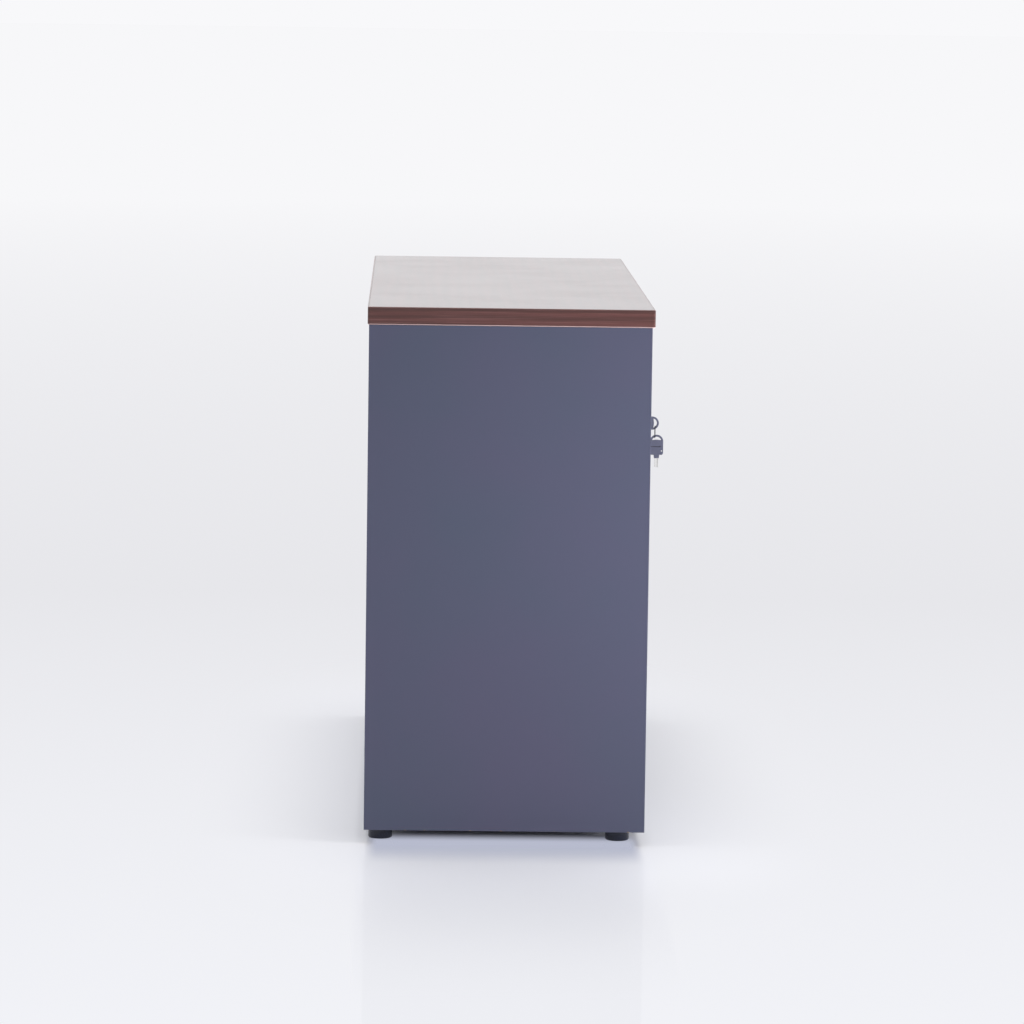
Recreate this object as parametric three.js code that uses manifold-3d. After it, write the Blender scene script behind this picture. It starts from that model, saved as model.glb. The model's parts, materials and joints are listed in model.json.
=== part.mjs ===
// An office credenza: grey board carcass, brown wood-grain top, two sliding doors, push lock with keys.
// Millimetres. X runs along the length, the doors face -Y, Z is up, the floor is Z = 0.
import * as THREE from 'three';
import { mergeVertices } from 'three/addons/utils/BufferGeometryUtils.js';
import Module from 'manifold-3d';

const wasm = await Module();
wasm.setup();

// Overall sizes
const LENGTH = 1200;
const TOP_DEPTH = 400;
const TOP_THICK = 25;
const CARCASS_HEIGHT = 710;
const FLOOR_GAP = 20;
const FRONT_OVERHANG = 4;
const BACK_OVERHANG = 2;

// Boards and edge bands
const BOARD = 16;
const BAND = 2;
const BAND_ROUND = 1.5;
const TOP_CORNER = 3;
const EDGING = 1;
const EDGING_ROUND = 0.7;
const BOTTOM_SETBACK = 2;
const BACK_INSET = 2;

// Clearances
const FIT = 0.2;
const RUN = 0.3;

// Shelves and their pins
const SHELF_HEIGHT = 372;
const SHELF_SETBACK = 10;
const SHELF_PLAY = 1.5;
const PIN_RADIUS = 2.4;
const PIN_REACH = 7;
const PIN_COLLAR_RADIUS = 3.8;
const PIN_COLLAR_THICK = 1;
const PIN_INSET = 37;
const PIN_PITCH = 32;
const PIN_ROWS = [-2, -1, 0, 1, 2];

// Feet
const FOOT_RADIUS = 17;
const FOOT_ROUND = 3;
const FOOT_BEVEL = 1;
const FOOT_END_INSET = 57;
const FOOT_FRONT_INSET = 36;
const FOOT_BACK_INSET = 23;
const STEM_RADIUS = 4;
const STEM_LENGTH = 14.5;
const INSERT_WALL = 2;

// Doors and tracks
const DOOR_SETBACK = 6.5;
const DOOR_GAP = 5;
const DOOR_OVERLAP = 40;
const DOOR_SIDE_GAP = 1;
const DOOR_ARRIS = 0.8;
const TRACK_WEB = 1.5;
const TRACK_FIN = 1.5;
const TRACK_DEPTH = 14;
const CHANNEL_WIDTH = 10;
const RAIL_WIDTH = 3;
const RAIL_HEIGHT = 4.5;
const DOOR_TOP_GAP = 2;
const DOOR_RAIL_GAP = 2.8;
const PARTITION_GAP = 7;

// Rollers and guides
const ROLLER_INSET = 70;
const HOUSING_LENGTH = 40;
const HOUSING_WIDTH = 11;
const HOUSING_HEIGHT = 20;
const WHEEL_RADIUS = 9;
const WHEEL_GROOVE = 2;
const WHEEL_WIDTH = 6.2;
const AXLE_RADIUS = 2;
const AXLE_LENGTH = 10;
const GUIDE_INSET = 60;
const GUIDE_LENGTH = 26;
const GUIDE_HEIGHT = 10;
const GUIDE_STEM_RADIUS = 4;
const GUIDE_STEM_LENGTH = 18;

// Flush pulls
const PULL_INSET = 60;
const PULL_RADIUS = 19;
const PULL_RIM = 3;
const PULL_RIM_THICK = 1.2;
const PULL_DEPTH = 11;
const PULL_WALL = 1.5;

// Push lock
const LOCK_DROP = 187.5;
const ROSETTE_RADIUS = 12;
const ROSETTE_THICK = 2.5;
const BARREL_RADIUS = 9.5;
const NUT_RADIUS = 13;
const NUT_THICK = 4;
const PLUNGER_RADIUS = 7.5;
const PLUNGER_REACH = 8.5;
const LOCK_TRAVEL = 7.5;
const LOCK_END_WALL = 3;
const BOLT_RADIUS = 4;
const PLUG_RADIUS = 4.8;
const PLUG_WALL = 4.5;
const BUSH_RADIUS = 6.3;
const BUSH_RIM = 1.7;
const BUSH_RIM_THICK = 1;
const BUSH_LENGTH = 10;

// Keys and link
const HEAD_WIDTH = 20;
const HEAD_HEIGHT = 30.6;
const HEAD_THICK = 2.4;
const HEAD_BAR = 3;
const HEAD_EDGE = 0.5;
const HEAD_CORNER = 3;
const HEAD_WINDOW = 5.4;
const HEAD_SILL_RISE = 0.9;
const HEAD_HOLE_RADIUS = 1;
const HEAD_HOLE_SIDE = 7.7;
const HEAD_HOLE_RISE = 6;
const HEAD_GROOVE = 1;
const HEAD_GROOVE_DEPTH = 0.5;
const HEAD_GROOVE_RISE = 13.6;
const HEAD_GROOVE_END = 6.2;
const TANG_WIDTH = 4.6;
const TANG_THICK = 1;
const TANG_LENGTH = 8;
const NECK_WIDTH = 8.6;
const NECK_END_WIDTH = 7.4;
const NECK_LENGTH = 5;
const BLADE_WIDTH = 6.4;
const BLADE_THICK = 1.5;
const BLADE_LENGTH = 13.8;
const BIT_DEPTH = 0.9;
const BIT_PITCH = 2.2;
const BIT_COUNT = 4;
const LINK_RADIUS = 4;
const LINK_WIRE = 0.6;
const LINK_HEIGHT = 18;
const LINK_PLACE = THREE.MathUtils.degToRad(60);
const SPARE_SHIFT = 2.8;

// Positions that follow from the sizes above
const undersideZ = FLOOR_GAP + CARCASS_HEIGHT;
const bottomZ = FLOOR_GAP + BOARD;
const carcassFront = FRONT_OVERHANG - TOP_DEPTH / 2;
const carcassBack = TOP_DEPTH / 2 - BACK_OVERHANG;
const innerX = LENGTH / 2 - BOARD;
const backPanelFront = carcassBack - BACK_INSET - BOARD;

const frontDoorFace = carcassFront + DOOR_SETBACK;
const rearDoorFace = frontDoorFace + BOARD + DOOR_GAP;
const doorFaces = { front: frontDoorFace, rear: rearDoorFace };
const doorWidth = innerX + DOOR_OVERLAP / 2 - DOOR_SIDE_GAP;
const doorMiddles = {
  front: innerX - DOOR_SIDE_GAP - doorWidth / 2,
  rear: doorWidth / 2 + DOOR_SIDE_GAP - innerX,
};
const trackFront = frontDoorFace + BOARD / 2 - CHANNEL_WIDTH / 2 - TRACK_FIN;
const trackBack = rearDoorFace + BOARD / 2 + CHANNEL_WIDTH / 2 + TRACK_FIN;
const trackLength = 2 * (innerX - FIT);
const railTopZ = bottomZ + FIT + TRACK_WEB + RAIL_HEIGHT;
const doorBottomZ = railTopZ + DOOR_RAIL_GAP;
const doorTopZ = undersideZ - FIT - TRACK_DEPTH - DOOR_TOP_GAP;
const wheelZ = railTopZ + FIT + WHEEL_RADIUS - WHEEL_GROOVE;
const partitionFront = rearDoorFace + BOARD + PARTITION_GAP;
const shelfFront = partitionFront + SHELF_SETBACK;
const shelfBack = backPanelFront - SHELF_PLAY;
const pinRowsY = [shelfFront + PIN_INSET, shelfBack - PIN_INSET];
const shelfZ = SHELF_HEIGHT + PIN_RADIUS + FIT;

const lockZ = undersideZ - LOCK_DROP;
const plungerFront = frontDoorFace - ROSETTE_THICK - PLUNGER_REACH;
const headBottomY = plungerFront - NECK_LENGTH - RUN;
const bladeTipY = headBottomY + NECK_LENGTH + BLADE_LENGTH;
const plugEnd = bladeTipY + RUN;
const plungerShoulder = plugEnd + FIT + PLUG_WALL;
const endWallFront = plungerShoulder + LOCK_TRAVEL + RUN;
const barrelEnd = endWallFront + LOCK_END_WALL;

// The link hangs over the arch of the head in the lock, and the spare key on the link
const keyTipY = headBottomY - HEAD_HEIGHT;
const keyBarY = keyTipY + HEAD_BAR / 2;
const barArch = (HEAD_WIDTH - HEAD_BAR) / 2;
const barReach = Math.hypot(HEAD_BAR / Math.sin(LINK_PLACE), HEAD_THICK) / 2;
const linkY = keyTipY + HEAD_WIDTH / 2 - barArch * Math.cos(LINK_PLACE);
const linkTopZ = lockZ - barArch * Math.sin(LINK_PLACE) + barReach + LINK_WIRE + RUN;
const windowArch = HEAD_WIDTH / 2 - HEAD_BAR;
const wireRise = LINK_RADIUS - Math.sqrt(LINK_RADIUS ** 2 - (HEAD_THICK / 2) ** 2);
const wireReach = windowArch - LINK_WIRE - wireRise - RUN;
const wireZ = linkTopZ - LINK_HEIGHT;
const spareY = linkY - SPARE_SHIFT;
const spareZ = wireZ + windowArch + HEAD_BAR / 2 - Math.sqrt(wireReach ** 2 - SPARE_SHIFT ** 2);

const X = new THREE.Vector3(1, 0, 0);
const Y = new THREE.Vector3(0, 1, 0);
const Z = new THREE.Vector3(0, 0, 1);

const greyBoard = finish(0x5c5e75, 0.55, 0);
const brownWood = finish(0x6a4c48, 0.45, 0);
const brownBand = finish(0x674a46, 0.5, 0);
const blackPlastic = finish(0x1b1b1d, 0.5, 0);
const greyPlastic = finish(0x686a7e, 0.45, 0);
const whiteNylon = finish(0xe4e2da, 0.5, 0);
const aluminium = finish(0xb9bcc0, 0.4, 1);
const steel = finish(0xa9abaf, 0.3, 1);
const zinc = finish(0xc4c6c9, 0.25, 1);

function finish(color, roughness, metalness) {
  return new THREE.MeshStandardMaterial({ color, roughness, metalness });
}

function toSolid(geometry) {
  const bare = geometry.clone();
  bare.deleteAttribute('normal');
  bare.deleteAttribute('uv');
  const merged = mergeVertices(bare, 1e-4);
  const index = merged.index.array;
  const corners = [];
  for (let i = 0; i < index.length; i += 3) {
    const [a, b, c] = [index[i], index[i + 1], index[i + 2]];
    if (a !== b && b !== c && c !== a) corners.push(a, b, c);
  }
  return new wasm.Manifold(new wasm.Mesh({
    numProp: 3,
    vertProperties: new Float32Array(merged.attributes.position.array),
    triVerts: new Uint32Array(corners),
  }));
}

function toGeometry(solid) {
  const mesh = solid.getMesh();
  const indexed = new THREE.BufferGeometry();
  indexed.setAttribute('position', new THREE.BufferAttribute(mesh.vertProperties, 3));
  indexed.setIndex(new THREE.BufferAttribute(mesh.triVerts, 1));
  const geometry = indexed.toNonIndexed();
  geometry.computeVertexNormals();
  return geometry;
}

function cut(geometry, tools) {
  return toGeometry(tools.reduce((solid, tool) => solid.subtract(toSolid(tool)), toSolid(geometry)));
}

function join(geometries) {
  return toGeometry(geometries.map(toSolid).reduce((solid, other) => solid.add(other)));
}

function box(x0, x1, y0, y1, z0, z1) {
  const geometry = new THREE.BoxGeometry(x1 - x0, y1 - y0, z1 - z0);
  return geometry.translate((x0 + x1) / 2, (y0 + y1) / 2, (z0 + z1) / 2);
}

// A round tool or pin between two points of one axis
function rod(axis, radius, from, to, segments) {
  const geometry = new THREE.CylinderGeometry(radius, radius, to - from, segments);
  geometry.translate(0, (from + to) / 2, 0);
  return alongAxis(geometry, axis);
}

function alongAxis(geometry, axis) {
  if (axis === 'x') geometry.rotateZ(-Math.PI / 2);
  if (axis === 'z') geometry.rotateX(Math.PI / 2);
  return geometry;
}

// A turned piece: rows of radius and distance along the axis, from its low end to its high end
function turned(axis, rows, segments) {
  const points = rows.map(([radius, along]) => new THREE.Vector2(radius, along));
  return alongAxis(new THREE.LatheGeometry(points, segments), axis);
}

function rectangle(width, height, corner) {
  const [w, h] = [width / 2, height / 2];
  const shape = new THREE.Shape();
  shape.moveTo(corner - w, -h);
  shape.lineTo(w - corner, -h);
  if (corner) shape.absarc(w - corner, corner - h, corner, -Math.PI / 2, 0);
  shape.lineTo(w, h - corner);
  if (corner) shape.absarc(w - corner, h - corner, corner, 0, Math.PI / 2);
  shape.lineTo(corner - w, h);
  if (corner) shape.absarc(corner - w, h - corner, corner, Math.PI / 2, Math.PI);
  shape.lineTo(-w, corner - h);
  if (corner) shape.absarc(corner - w, corner - h, corner, Math.PI, Math.PI * 1.5);
  return shape;
}

// An extrusion whose long edges are rounded or bevelled by one radius
function bevelled(shape, thickness, bevel, bevelSegments, curveSegments) {
  return new THREE.ExtrudeGeometry(shape, {
    depth: thickness - 2 * bevel,
    bevelThickness: bevel,
    bevelSize: bevel,
    bevelOffset: -bevel,
    bevelSegments,
    curveSegments,
  }).translate(0, 0, bevel);
}

function topCore() {
  const [w, d] = [LENGTH / 2 - BAND, TOP_DEPTH / 2 - BAND];
  return box(-w, w, -d, d, undersideZ, undersideZ + TOP_THICK);
}

function topEdgeBand() {
  const outline = rectangle(LENGTH, TOP_DEPTH, TOP_CORNER);
  const whole = bevelled(outline, TOP_THICK, BAND_ROUND, 3, 4).translate(0, 0, undersideZ);
  const [w, d] = [LENGTH / 2 - BAND + FIT, TOP_DEPTH / 2 - BAND + FIT];
  return cut(whole, [box(-w, w, -d, d, undersideZ - 1, undersideZ + TOP_THICK + 1)]);
}

function pinHoles(x0, x1) {
  const heights = PIN_ROWS.map((row) => SHELF_HEIGHT + row * PIN_PITCH);
  return pinRowsY.flatMap((y) => heights.map((z) => rod('x', PIN_RADIUS + FIT, x0, x1, 10).translate(0, y, z)));
}

// side is -1 for the left end and 1 for the right end
function endPanel(side) {
  const inner = side * innerX;
  const outer = side * LENGTH / 2;
  const [x0, x1] = [Math.min(inner, outer), Math.max(inner, outer)];
  const front = carcassFront + EDGING + FIT;
  const board = box(x0, x1, front, carcassBack, FLOOR_GAP, undersideZ - FIT);
  const depth = PIN_REACH + 2 * RUN;
  const [hole0, hole1] = [inner - depth, inner + depth];
  return cut(board, pinHoles(hole0, hole1));
}

// A strip with two rounded front corners, lying against a board's front edge
function edgingStrip(width, length) {
  const [w, r] = [width / 2, EDGING_ROUND];
  const shape = new THREE.Shape();
  shape.moveTo(-w, EDGING);
  shape.lineTo(-w, r);
  shape.absarc(r - w, r, r, Math.PI, Math.PI * 1.5);
  shape.lineTo(w - r, 0);
  shape.absarc(w - r, r, r, -Math.PI / 2, 0);
  shape.lineTo(w, EDGING);
  return new THREE.ExtrudeGeometry(shape, { depth: length, bevelEnabled: false, curveSegments: 3 });
}

function endEdging(side) {
  const strip = edgingStrip(BOARD, CARCASS_HEIGHT - FIT);
  return strip.translate(side * (innerX + BOARD / 2), carcassFront, FLOOR_GAP);
}

function bottomEdging() {
  const strip = edgingStrip(BOARD, trackLength).translate(0, 0, -trackLength / 2);
  const turn = new THREE.Matrix4().makeBasis(Z.clone().negate(), Y, X);
  return strip.applyMatrix4(turn).translate(0, carcassFront + BOTTOM_SETBACK, FLOOR_GAP + BOARD / 2);
}

function bottomPanel() {
  const x = innerX - FIT;
  const front = carcassFront + BOTTOM_SETBACK + EDGING + FIT;
  const board = box(-x, x, front, carcassBack - BACK_INSET, FLOOR_GAP, bottomZ);
  const hole = rod('z', STEM_RADIUS + RUN + INSERT_WALL + FIT, FLOOR_GAP - 1, bottomZ + 1, 20);
  return cut(board, footPlaces().map(({ x: fx, y }) => hole.clone().translate(fx, y, 0)));
}

function backPanel() {
  const x = innerX - FIT;
  return box(-x, x, backPanelFront, carcassBack - BACK_INSET, bottomZ + FIT, undersideZ - FIT);
}

function centrePartition() {
  const x = BOARD / 2;
  const board = box(-x, x, partitionFront, backPanelFront - FIT, bottomZ + FIT, undersideZ - FIT);
  return cut(board, pinHoles(-x - 1, x + 1));
}

function shelf(side) {
  const near = side * (BOARD / 2 + SHELF_PLAY);
  const far = side * (innerX - SHELF_PLAY);
  return box(Math.min(near, far), Math.max(near, far), shelfFront, shelfBack, shelfZ, shelfZ + BOARD);
}

// Peg, collar and rest of one shelf pin, pointing along +X out of a wall at X = 0
function shelfPin() {
  const rows = [
    [0, -PIN_REACH],
    [PIN_RADIUS, -PIN_REACH],
    [PIN_RADIUS, FIT],
    [PIN_COLLAR_RADIUS, FIT],
    [PIN_COLLAR_RADIUS, FIT + PIN_COLLAR_THICK],
    [PIN_RADIUS, FIT + PIN_COLLAR_THICK],
    [PIN_RADIUS, PIN_REACH],
    [0, PIN_REACH],
  ];
  return turned('x', rows, 10);
}

function shelfPins(side) {
  const walls = [side * (BOARD / 2), side * innerX];
  const ways = [side, -side];
  return walls.flatMap((x, i) => pinRowsY.map((y) => {
    const pin = shelfPin();
    if (ways[i] < 0) pin.rotateZ(Math.PI);
    return pin.translate(x, y, SHELF_HEIGHT);
  }));
}

// A track profile: a web with teeth, drawn in Y and Z, running the length between the end panels
function track(teeth, webZ, innerZ, tipZ) {
  const points = [[trackFront, webZ], [trackFront, innerZ]];
  for (const [y0, y1] of teeth) points.push([y0, innerZ], [y0, tipZ], [y1, tipZ], [y1, innerZ]);
  points.push([trackBack, innerZ], [trackBack, webZ]);
  const outline = points.filter(([y, z], i) => i === 0 || y !== points[i - 1][0] || z !== points[i - 1][1]);
  const clean = outline.filter(([y], i) => {
    const before = outline[i - 1];
    const after = outline[i + 1];
    return !(before && after && before[0] === y && after[0] === y);
  });
  const shape = new THREE.Shape(clean.map(([y, z]) => new THREE.Vector2(y, z)));
  const run = new THREE.ExtrudeGeometry(shape, { depth: trackLength, bevelEnabled: false });
  run.translate(0, 0, -trackLength / 2);
  return run.applyMatrix4(new THREE.Matrix4().makeBasis(Y, Z, X));
}

function doorLines() {
  return [frontDoorFace + BOARD / 2, rearDoorFace + BOARD / 2];
}

function topTrack() {
  const half = CHANNEL_WIDTH / 2;
  const teeth = doorLines().flatMap((y) => [[y - half - TRACK_FIN, y - half], [y + half, y + half + TRACK_FIN]]);
  const webZ = undersideZ - FIT;
  return track(teeth, webZ, webZ - TRACK_WEB, webZ - TRACK_DEPTH);
}

function bottomTrack() {
  const half = RAIL_WIDTH / 2;
  const rails = doorLines().map((y) => [y - half, y + half]);
  const teeth = [[trackFront, trackFront + TRACK_FIN], ...rails, [trackBack - TRACK_FIN, trackBack]];
  const webZ = bottomZ + FIT;
  return track(teeth, webZ, webZ + TRACK_WEB, railTopZ);
}

function footPlaces() {
  const x = LENGTH / 2 - FOOT_END_INSET;
  const front = carcassFront + FOOT_FRONT_INSET;
  const back = carcassBack - FOOT_BACK_INSET;
  return [
    { name: 'front_left', x: -x, y: front },
    { name: 'front_right', x, y: front },
    { name: 'back_left', x: -x, y: back },
    { name: 'back_right', x, y: back },
  ];
}

// Levelling foot: round pad with a softened lower edge and a threaded stem
function foot() {
  const top = FLOOR_GAP - FIT;
  const stemTop = top + STEM_LENGTH;
  const round = [0, 1, 2, 3].map((step) => {
    const angle = (step / 3) * (Math.PI / 2);
    return [FOOT_RADIUS - FOOT_ROUND * (1 - Math.sin(angle)), FOOT_ROUND * (1 - Math.cos(angle))];
  });
  const rows = [
    [0, 0],
    ...round,
    [FOOT_RADIUS, top - FOOT_BEVEL],
    [FOOT_RADIUS - FOOT_BEVEL, top],
    [STEM_RADIUS, top],
    [STEM_RADIUS, stemTop - FOOT_BEVEL],
    [STEM_RADIUS - FOOT_BEVEL, stemTop],
    [0, stemTop],
  ];
  return turned('z', rows, 20);
}

// Sleeve in the bottom panel that takes the foot's stem
function footInsert() {
  const bore = STEM_RADIUS + RUN;
  const rim = bore + INSERT_WALL;
  const [low, high] = [FLOOR_GAP + FIT, bottomZ - FIT];
  return turned('z', [[bore, low], [rim, low], [rim, high], [bore, high], [bore, low]], 16);
}

function rollerPlaces(door) {
  const reach = doorWidth / 2 - ROLLER_INSET;
  return { left: doorMiddles[door] - reach, right: doorMiddles[door] + reach };
}

function guidePlaces(door) {
  const reach = doorWidth / 2 - GUIDE_INSET;
  return { left: doorMiddles[door] - reach, right: doorMiddles[door] + reach };
}

function doorLine(door) {
  return doorFaces[door] + BOARD / 2;
}

// The pull sits near the end of the door that is away from the overlap
function pullX(door) {
  const side = Math.sign(doorMiddles[door]);
  return doorMiddles[door] + side * (doorWidth / 2 - PULL_INSET);
}

// A door board with the pull's bore, the mortises of the rollers and the bores of the guides
function doorBoard(door) {
  const height = doorTopZ - doorBottomZ;
  const board = bevelled(rectangle(doorWidth, height, 0), BOARD, DOOR_ARRIS, 1, 1);
  board.applyMatrix4(new THREE.Matrix4().makeBasis(X, Z, Y.clone().negate()));
  board.translate(doorMiddles[door], doorFaces[door] + BOARD, doorBottomZ + height / 2);
  const face = doorFaces[door];
  const pull = rod('y', PULL_RADIUS + FIT, face - 1, face + PULL_DEPTH + FIT, 32);
  const tools = [pull.translate(pullX(door), 0, lockZ)];
  const [halfLength, halfWidth] = [HOUSING_LENGTH / 2 + FIT, HOUSING_WIDTH / 2 + FIT];
  for (const x of Object.values(rollerPlaces(door))) {
    const mortise = box(-halfLength, halfLength, -halfWidth, halfWidth, -1, HOUSING_HEIGHT + FIT);
    tools.push(mortise.translate(x, doorLine(door), doorBottomZ));
  }
  for (const x of Object.values(guidePlaces(door))) {
    const bore = rod('z', GUIDE_STEM_RADIUS + FIT, -GUIDE_STEM_LENGTH - RUN, 1, 16);
    tools.push(bore.translate(x, doorLine(door), doorTopZ));
  }
  return cut(board, tools);
}

function frontDoor() {
  const back = frontDoorFace + BOARD;
  const barrel = rod('y', BARREL_RADIUS + FIT, frontDoorFace - 1, back + 1, 24);
  const nutSeat = rod('y', NUT_RADIUS + FIT, back - NUT_THICK - 2 * FIT, back + 1, 24);
  return cut(doorBoard('front'), [barrel.translate(0, 0, lockZ), nutSeat.translate(0, 0, lockZ)]);
}

function rearDoor() {
  const end = rearDoorFace + BUSH_LENGTH + FIT;
  const bore = rod('y', BUSH_RADIUS + FIT, rearDoorFace - 1, end, 20);
  return cut(doorBoard('rear'), [bore.translate(0, 0, lockZ)]);
}

function flushPull(door) {
  const inner = PULL_RADIUS - PULL_WALL;
  const rim = PULL_RADIUS + PULL_RIM;
  const rows = [
    [0, PULL_DEPTH],
    [PULL_RADIUS, PULL_DEPTH],
    [PULL_RADIUS, -FIT],
    [rim, -FIT],
    [rim, -PULL_RIM_THICK / 2],
    [rim - PULL_RIM_THICK / 2, -PULL_RIM_THICK],
    [inner, -PULL_RIM_THICK],
    [inner, PULL_DEPTH - PULL_WALL],
    [0, PULL_DEPTH - PULL_WALL],
  ];
  return turned('y', rows.reverse(), 28).translate(pullX(door), doorFaces[door], lockZ);
}

// Block let into the door's lower edge, slotted for the wheel and bored for its axle
function rollerHousing(door, side) {
  const [l, w] = [HOUSING_LENGTH / 2, HOUSING_WIDTH / 2];
  const block = box(-l, l, -w, w, doorBottomZ, doorBottomZ + HOUSING_HEIGHT);
  const [slotX, slotY] = [WHEEL_RADIUS + 4 * RUN, WHEEL_WIDTH / 2 + RUN];
  const slot = box(-slotX, slotX, -slotY, slotY, doorBottomZ - 1, wheelZ + WHEEL_RADIUS + 4 * RUN);
  const bore = rod('y', AXLE_RADIUS + FIT, -w - 1, w + 1, 14).translate(0, 0, wheelZ);
  return cut(block, [slot, bore]).translate(rollerPlaces(door)[side], doorLine(door), 0);
}

// Grooved wheel with moulded stub axles
function rollerWheel(door, side) {
  const [half, axle] = [WHEEL_WIDTH / 2, AXLE_LENGTH / 2];
  const grooveHalf = RAIL_WIDTH / 2 + FIT;
  const lip = grooveHalf + WHEEL_GROOVE / 4;
  const rows = [
    [0, -axle],
    [AXLE_RADIUS, -axle],
    [AXLE_RADIUS, -half],
    [WHEEL_RADIUS, -half],
    [WHEEL_RADIUS, -lip],
    [WHEEL_RADIUS - WHEEL_GROOVE, -grooveHalf],
    [WHEEL_RADIUS - WHEEL_GROOVE, grooveHalf],
    [WHEEL_RADIUS, lip],
    [WHEEL_RADIUS, half],
    [AXLE_RADIUS, half],
    [AXLE_RADIUS, axle],
    [0, axle],
  ];
  return turned('y', rows, 16).translate(rollerPlaces(door)[side], doorLine(door), wheelZ);
}

// Guide finger that runs in the top track, with a stem bored into the door's upper edge
function topGuide(door, side) {
  const width = CHANNEL_WIDTH - 2 * RUN;
  const outline = rectangle(GUIDE_LENGTH, width, width / 2 - RUN);
  const head = bevelled(outline, GUIDE_HEIGHT, HEAD_EDGE, 1, 4).translate(0, 0, FIT);
  const stem = rod('z', GUIDE_STEM_RADIUS, -GUIDE_STEM_LENGTH, FIT + HEAD_EDGE * 2, 14);
  return join([head, stem]).translate(guidePlaces(door)[side], doorLine(door), doorTopZ);
}

function lockBody() {
  const front = frontDoorFace - ROSETTE_THICK;
  const bore = PLUNGER_RADIUS + RUN;
  const exit = BOLT_RADIUS + RUN;
  const rows = [
    [bore, front],
    [ROSETTE_RADIUS - 1, front],
    [ROSETTE_RADIUS, front + 1],
    [ROSETTE_RADIUS, frontDoorFace - FIT],
    [BARREL_RADIUS, frontDoorFace - FIT],
    [BARREL_RADIUS, barrelEnd],
    [exit, barrelEnd],
    [exit, endWallFront],
    [bore, endWallFront],
    [bore, front],
  ];
  return turned('y', rows, 24).translate(0, 0, lockZ);
}

function lockNut() {
  const shape = new THREE.Shape();
  for (let corner = 0; corner < 6; corner += 1) {
    const angle = (corner / 6) * Math.PI * 2;
    const [x, y] = [NUT_RADIUS * Math.cos(angle), NUT_RADIUS * Math.sin(angle)];
    if (corner) shape.lineTo(x, y);
    else shape.moveTo(x, y);
  }
  const hole = new THREE.Path();
  hole.absarc(0, 0, BARREL_RADIUS + FIT, 0, Math.PI * 2, true);
  shape.holes.push(hole);
  const nut = new THREE.ExtrudeGeometry(shape, { depth: NUT_THICK, bevelEnabled: false, curveSegments: 24 });
  return nut.rotateX(Math.PI / 2).translate(0, frontDoorFace + BOARD - FIT, lockZ);
}

function lockPlunger() {
  const bore = PLUG_RADIUS + FIT;
  const rows = [
    [0, plugEnd + FIT],
    [bore, plugEnd + FIT],
    [bore, plungerFront],
    [PLUNGER_RADIUS - 1, plungerFront],
    [PLUNGER_RADIUS, plungerFront + 1],
    [PLUNGER_RADIUS, plungerShoulder],
    [BOLT_RADIUS, plungerShoulder],
    [BOLT_RADIUS, barrelEnd - 1],
    [BOLT_RADIUS - 1, barrelEnd],
    [0, barrelEnd],
  ];
  return turned('y', rows, 24).translate(0, 0, lockZ);
}

// Turning plug with an upright keyway for the blade
function lockPlug() {
  const front = plungerFront + FIT;
  const plug = rod('y', PLUG_RADIUS, front, plugEnd, 20);
  const [w, t] = [BLADE_WIDTH / 2 + FIT, BLADE_THICK / 2 + FIT];
  const keyway = box(-t, t, front - 1, plugEnd + 1, -w, w);
  return cut(plug, [keyway]).translate(0, 0, lockZ);
}

function strikeBush() {
  const bore = BOLT_RADIUS + 2 * RUN;
  const rim = BUSH_RADIUS + BUSH_RIM;
  const rows = [
    [bore, -BUSH_RIM_THICK],
    [rim, -BUSH_RIM_THICK],
    [rim, -FIT],
    [BUSH_RADIUS, -FIT],
    [BUSH_RADIUS, BUSH_LENGTH],
    [bore, BUSH_LENGTH],
    [bore, -BUSH_RIM_THICK],
  ];
  return turned('y', rows, 20).translate(0, rearDoorFace, lockZ);
}

// Key head drawn face on, with the middle of its bar at the origin and the blade below
function keyHead() {
  const [w, r] = [HEAD_WIDTH / 2, HEAD_CORNER];
  const top = HEAD_BAR / 2;
  const archY = top - w;
  const foot0 = top - HEAD_HEIGHT;
  const shape = new THREE.Shape();
  shape.moveTo(r - w, foot0);
  shape.lineTo(w - r, foot0);
  shape.absarc(w - r, foot0 + r, r, -Math.PI / 2, 0);
  shape.lineTo(w, archY);
  shape.absarc(0, archY, w, 0, Math.PI);
  shape.lineTo(-w, foot0 + r);
  shape.absarc(r - w, foot0 + r, r, Math.PI, Math.PI * 1.5);
  const sill = windowArch - HEAD_WINDOW;
  const angle = Math.asin(sill / windowArch);
  const opening = new THREE.Path();
  opening.absarc(0, archY, windowArch, angle, Math.PI - angle);
  const sillY = archY + sill;
  opening.quadraticCurveTo(0, sillY + 2 * HEAD_SILL_RISE, windowArch * Math.cos(angle), sillY);
  const hole = new THREE.Path();
  hole.absarc(HEAD_HOLE_SIDE, foot0 + HEAD_HOLE_RISE, HEAD_HOLE_RADIUS, 0, Math.PI * 2, true);
  shape.holes.push(opening, hole);
  const head = bevelled(shape, HEAD_THICK, HEAD_EDGE, 1, 12).translate(0, 0, -HEAD_THICK / 2);
  return cut(join([head, headNeck(foot0)]), [tangPocket(foot0), ...headGrooves(foot0)]);
}

// A tapering neck that holds the blade and stops the key at the lock
function headNeck(foot0) {
  const [w0, w1] = [NECK_WIDTH / 2, NECK_END_WIDTH / 2];
  const root = foot0 + HEAD_EDGE * 2;
  const end = foot0 - NECK_LENGTH;
  const shape = new THREE.Shape();
  shape.moveTo(-w0, root);
  shape.lineTo(-w0, foot0);
  shape.lineTo(-w1, end);
  shape.lineTo(w1, end);
  shape.lineTo(w0, foot0);
  shape.lineTo(w0, root);
  const neck = new THREE.ExtrudeGeometry(shape, { depth: HEAD_THICK, bevelEnabled: false });
  return neck.translate(0, 0, -HEAD_THICK / 2);
}

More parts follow.
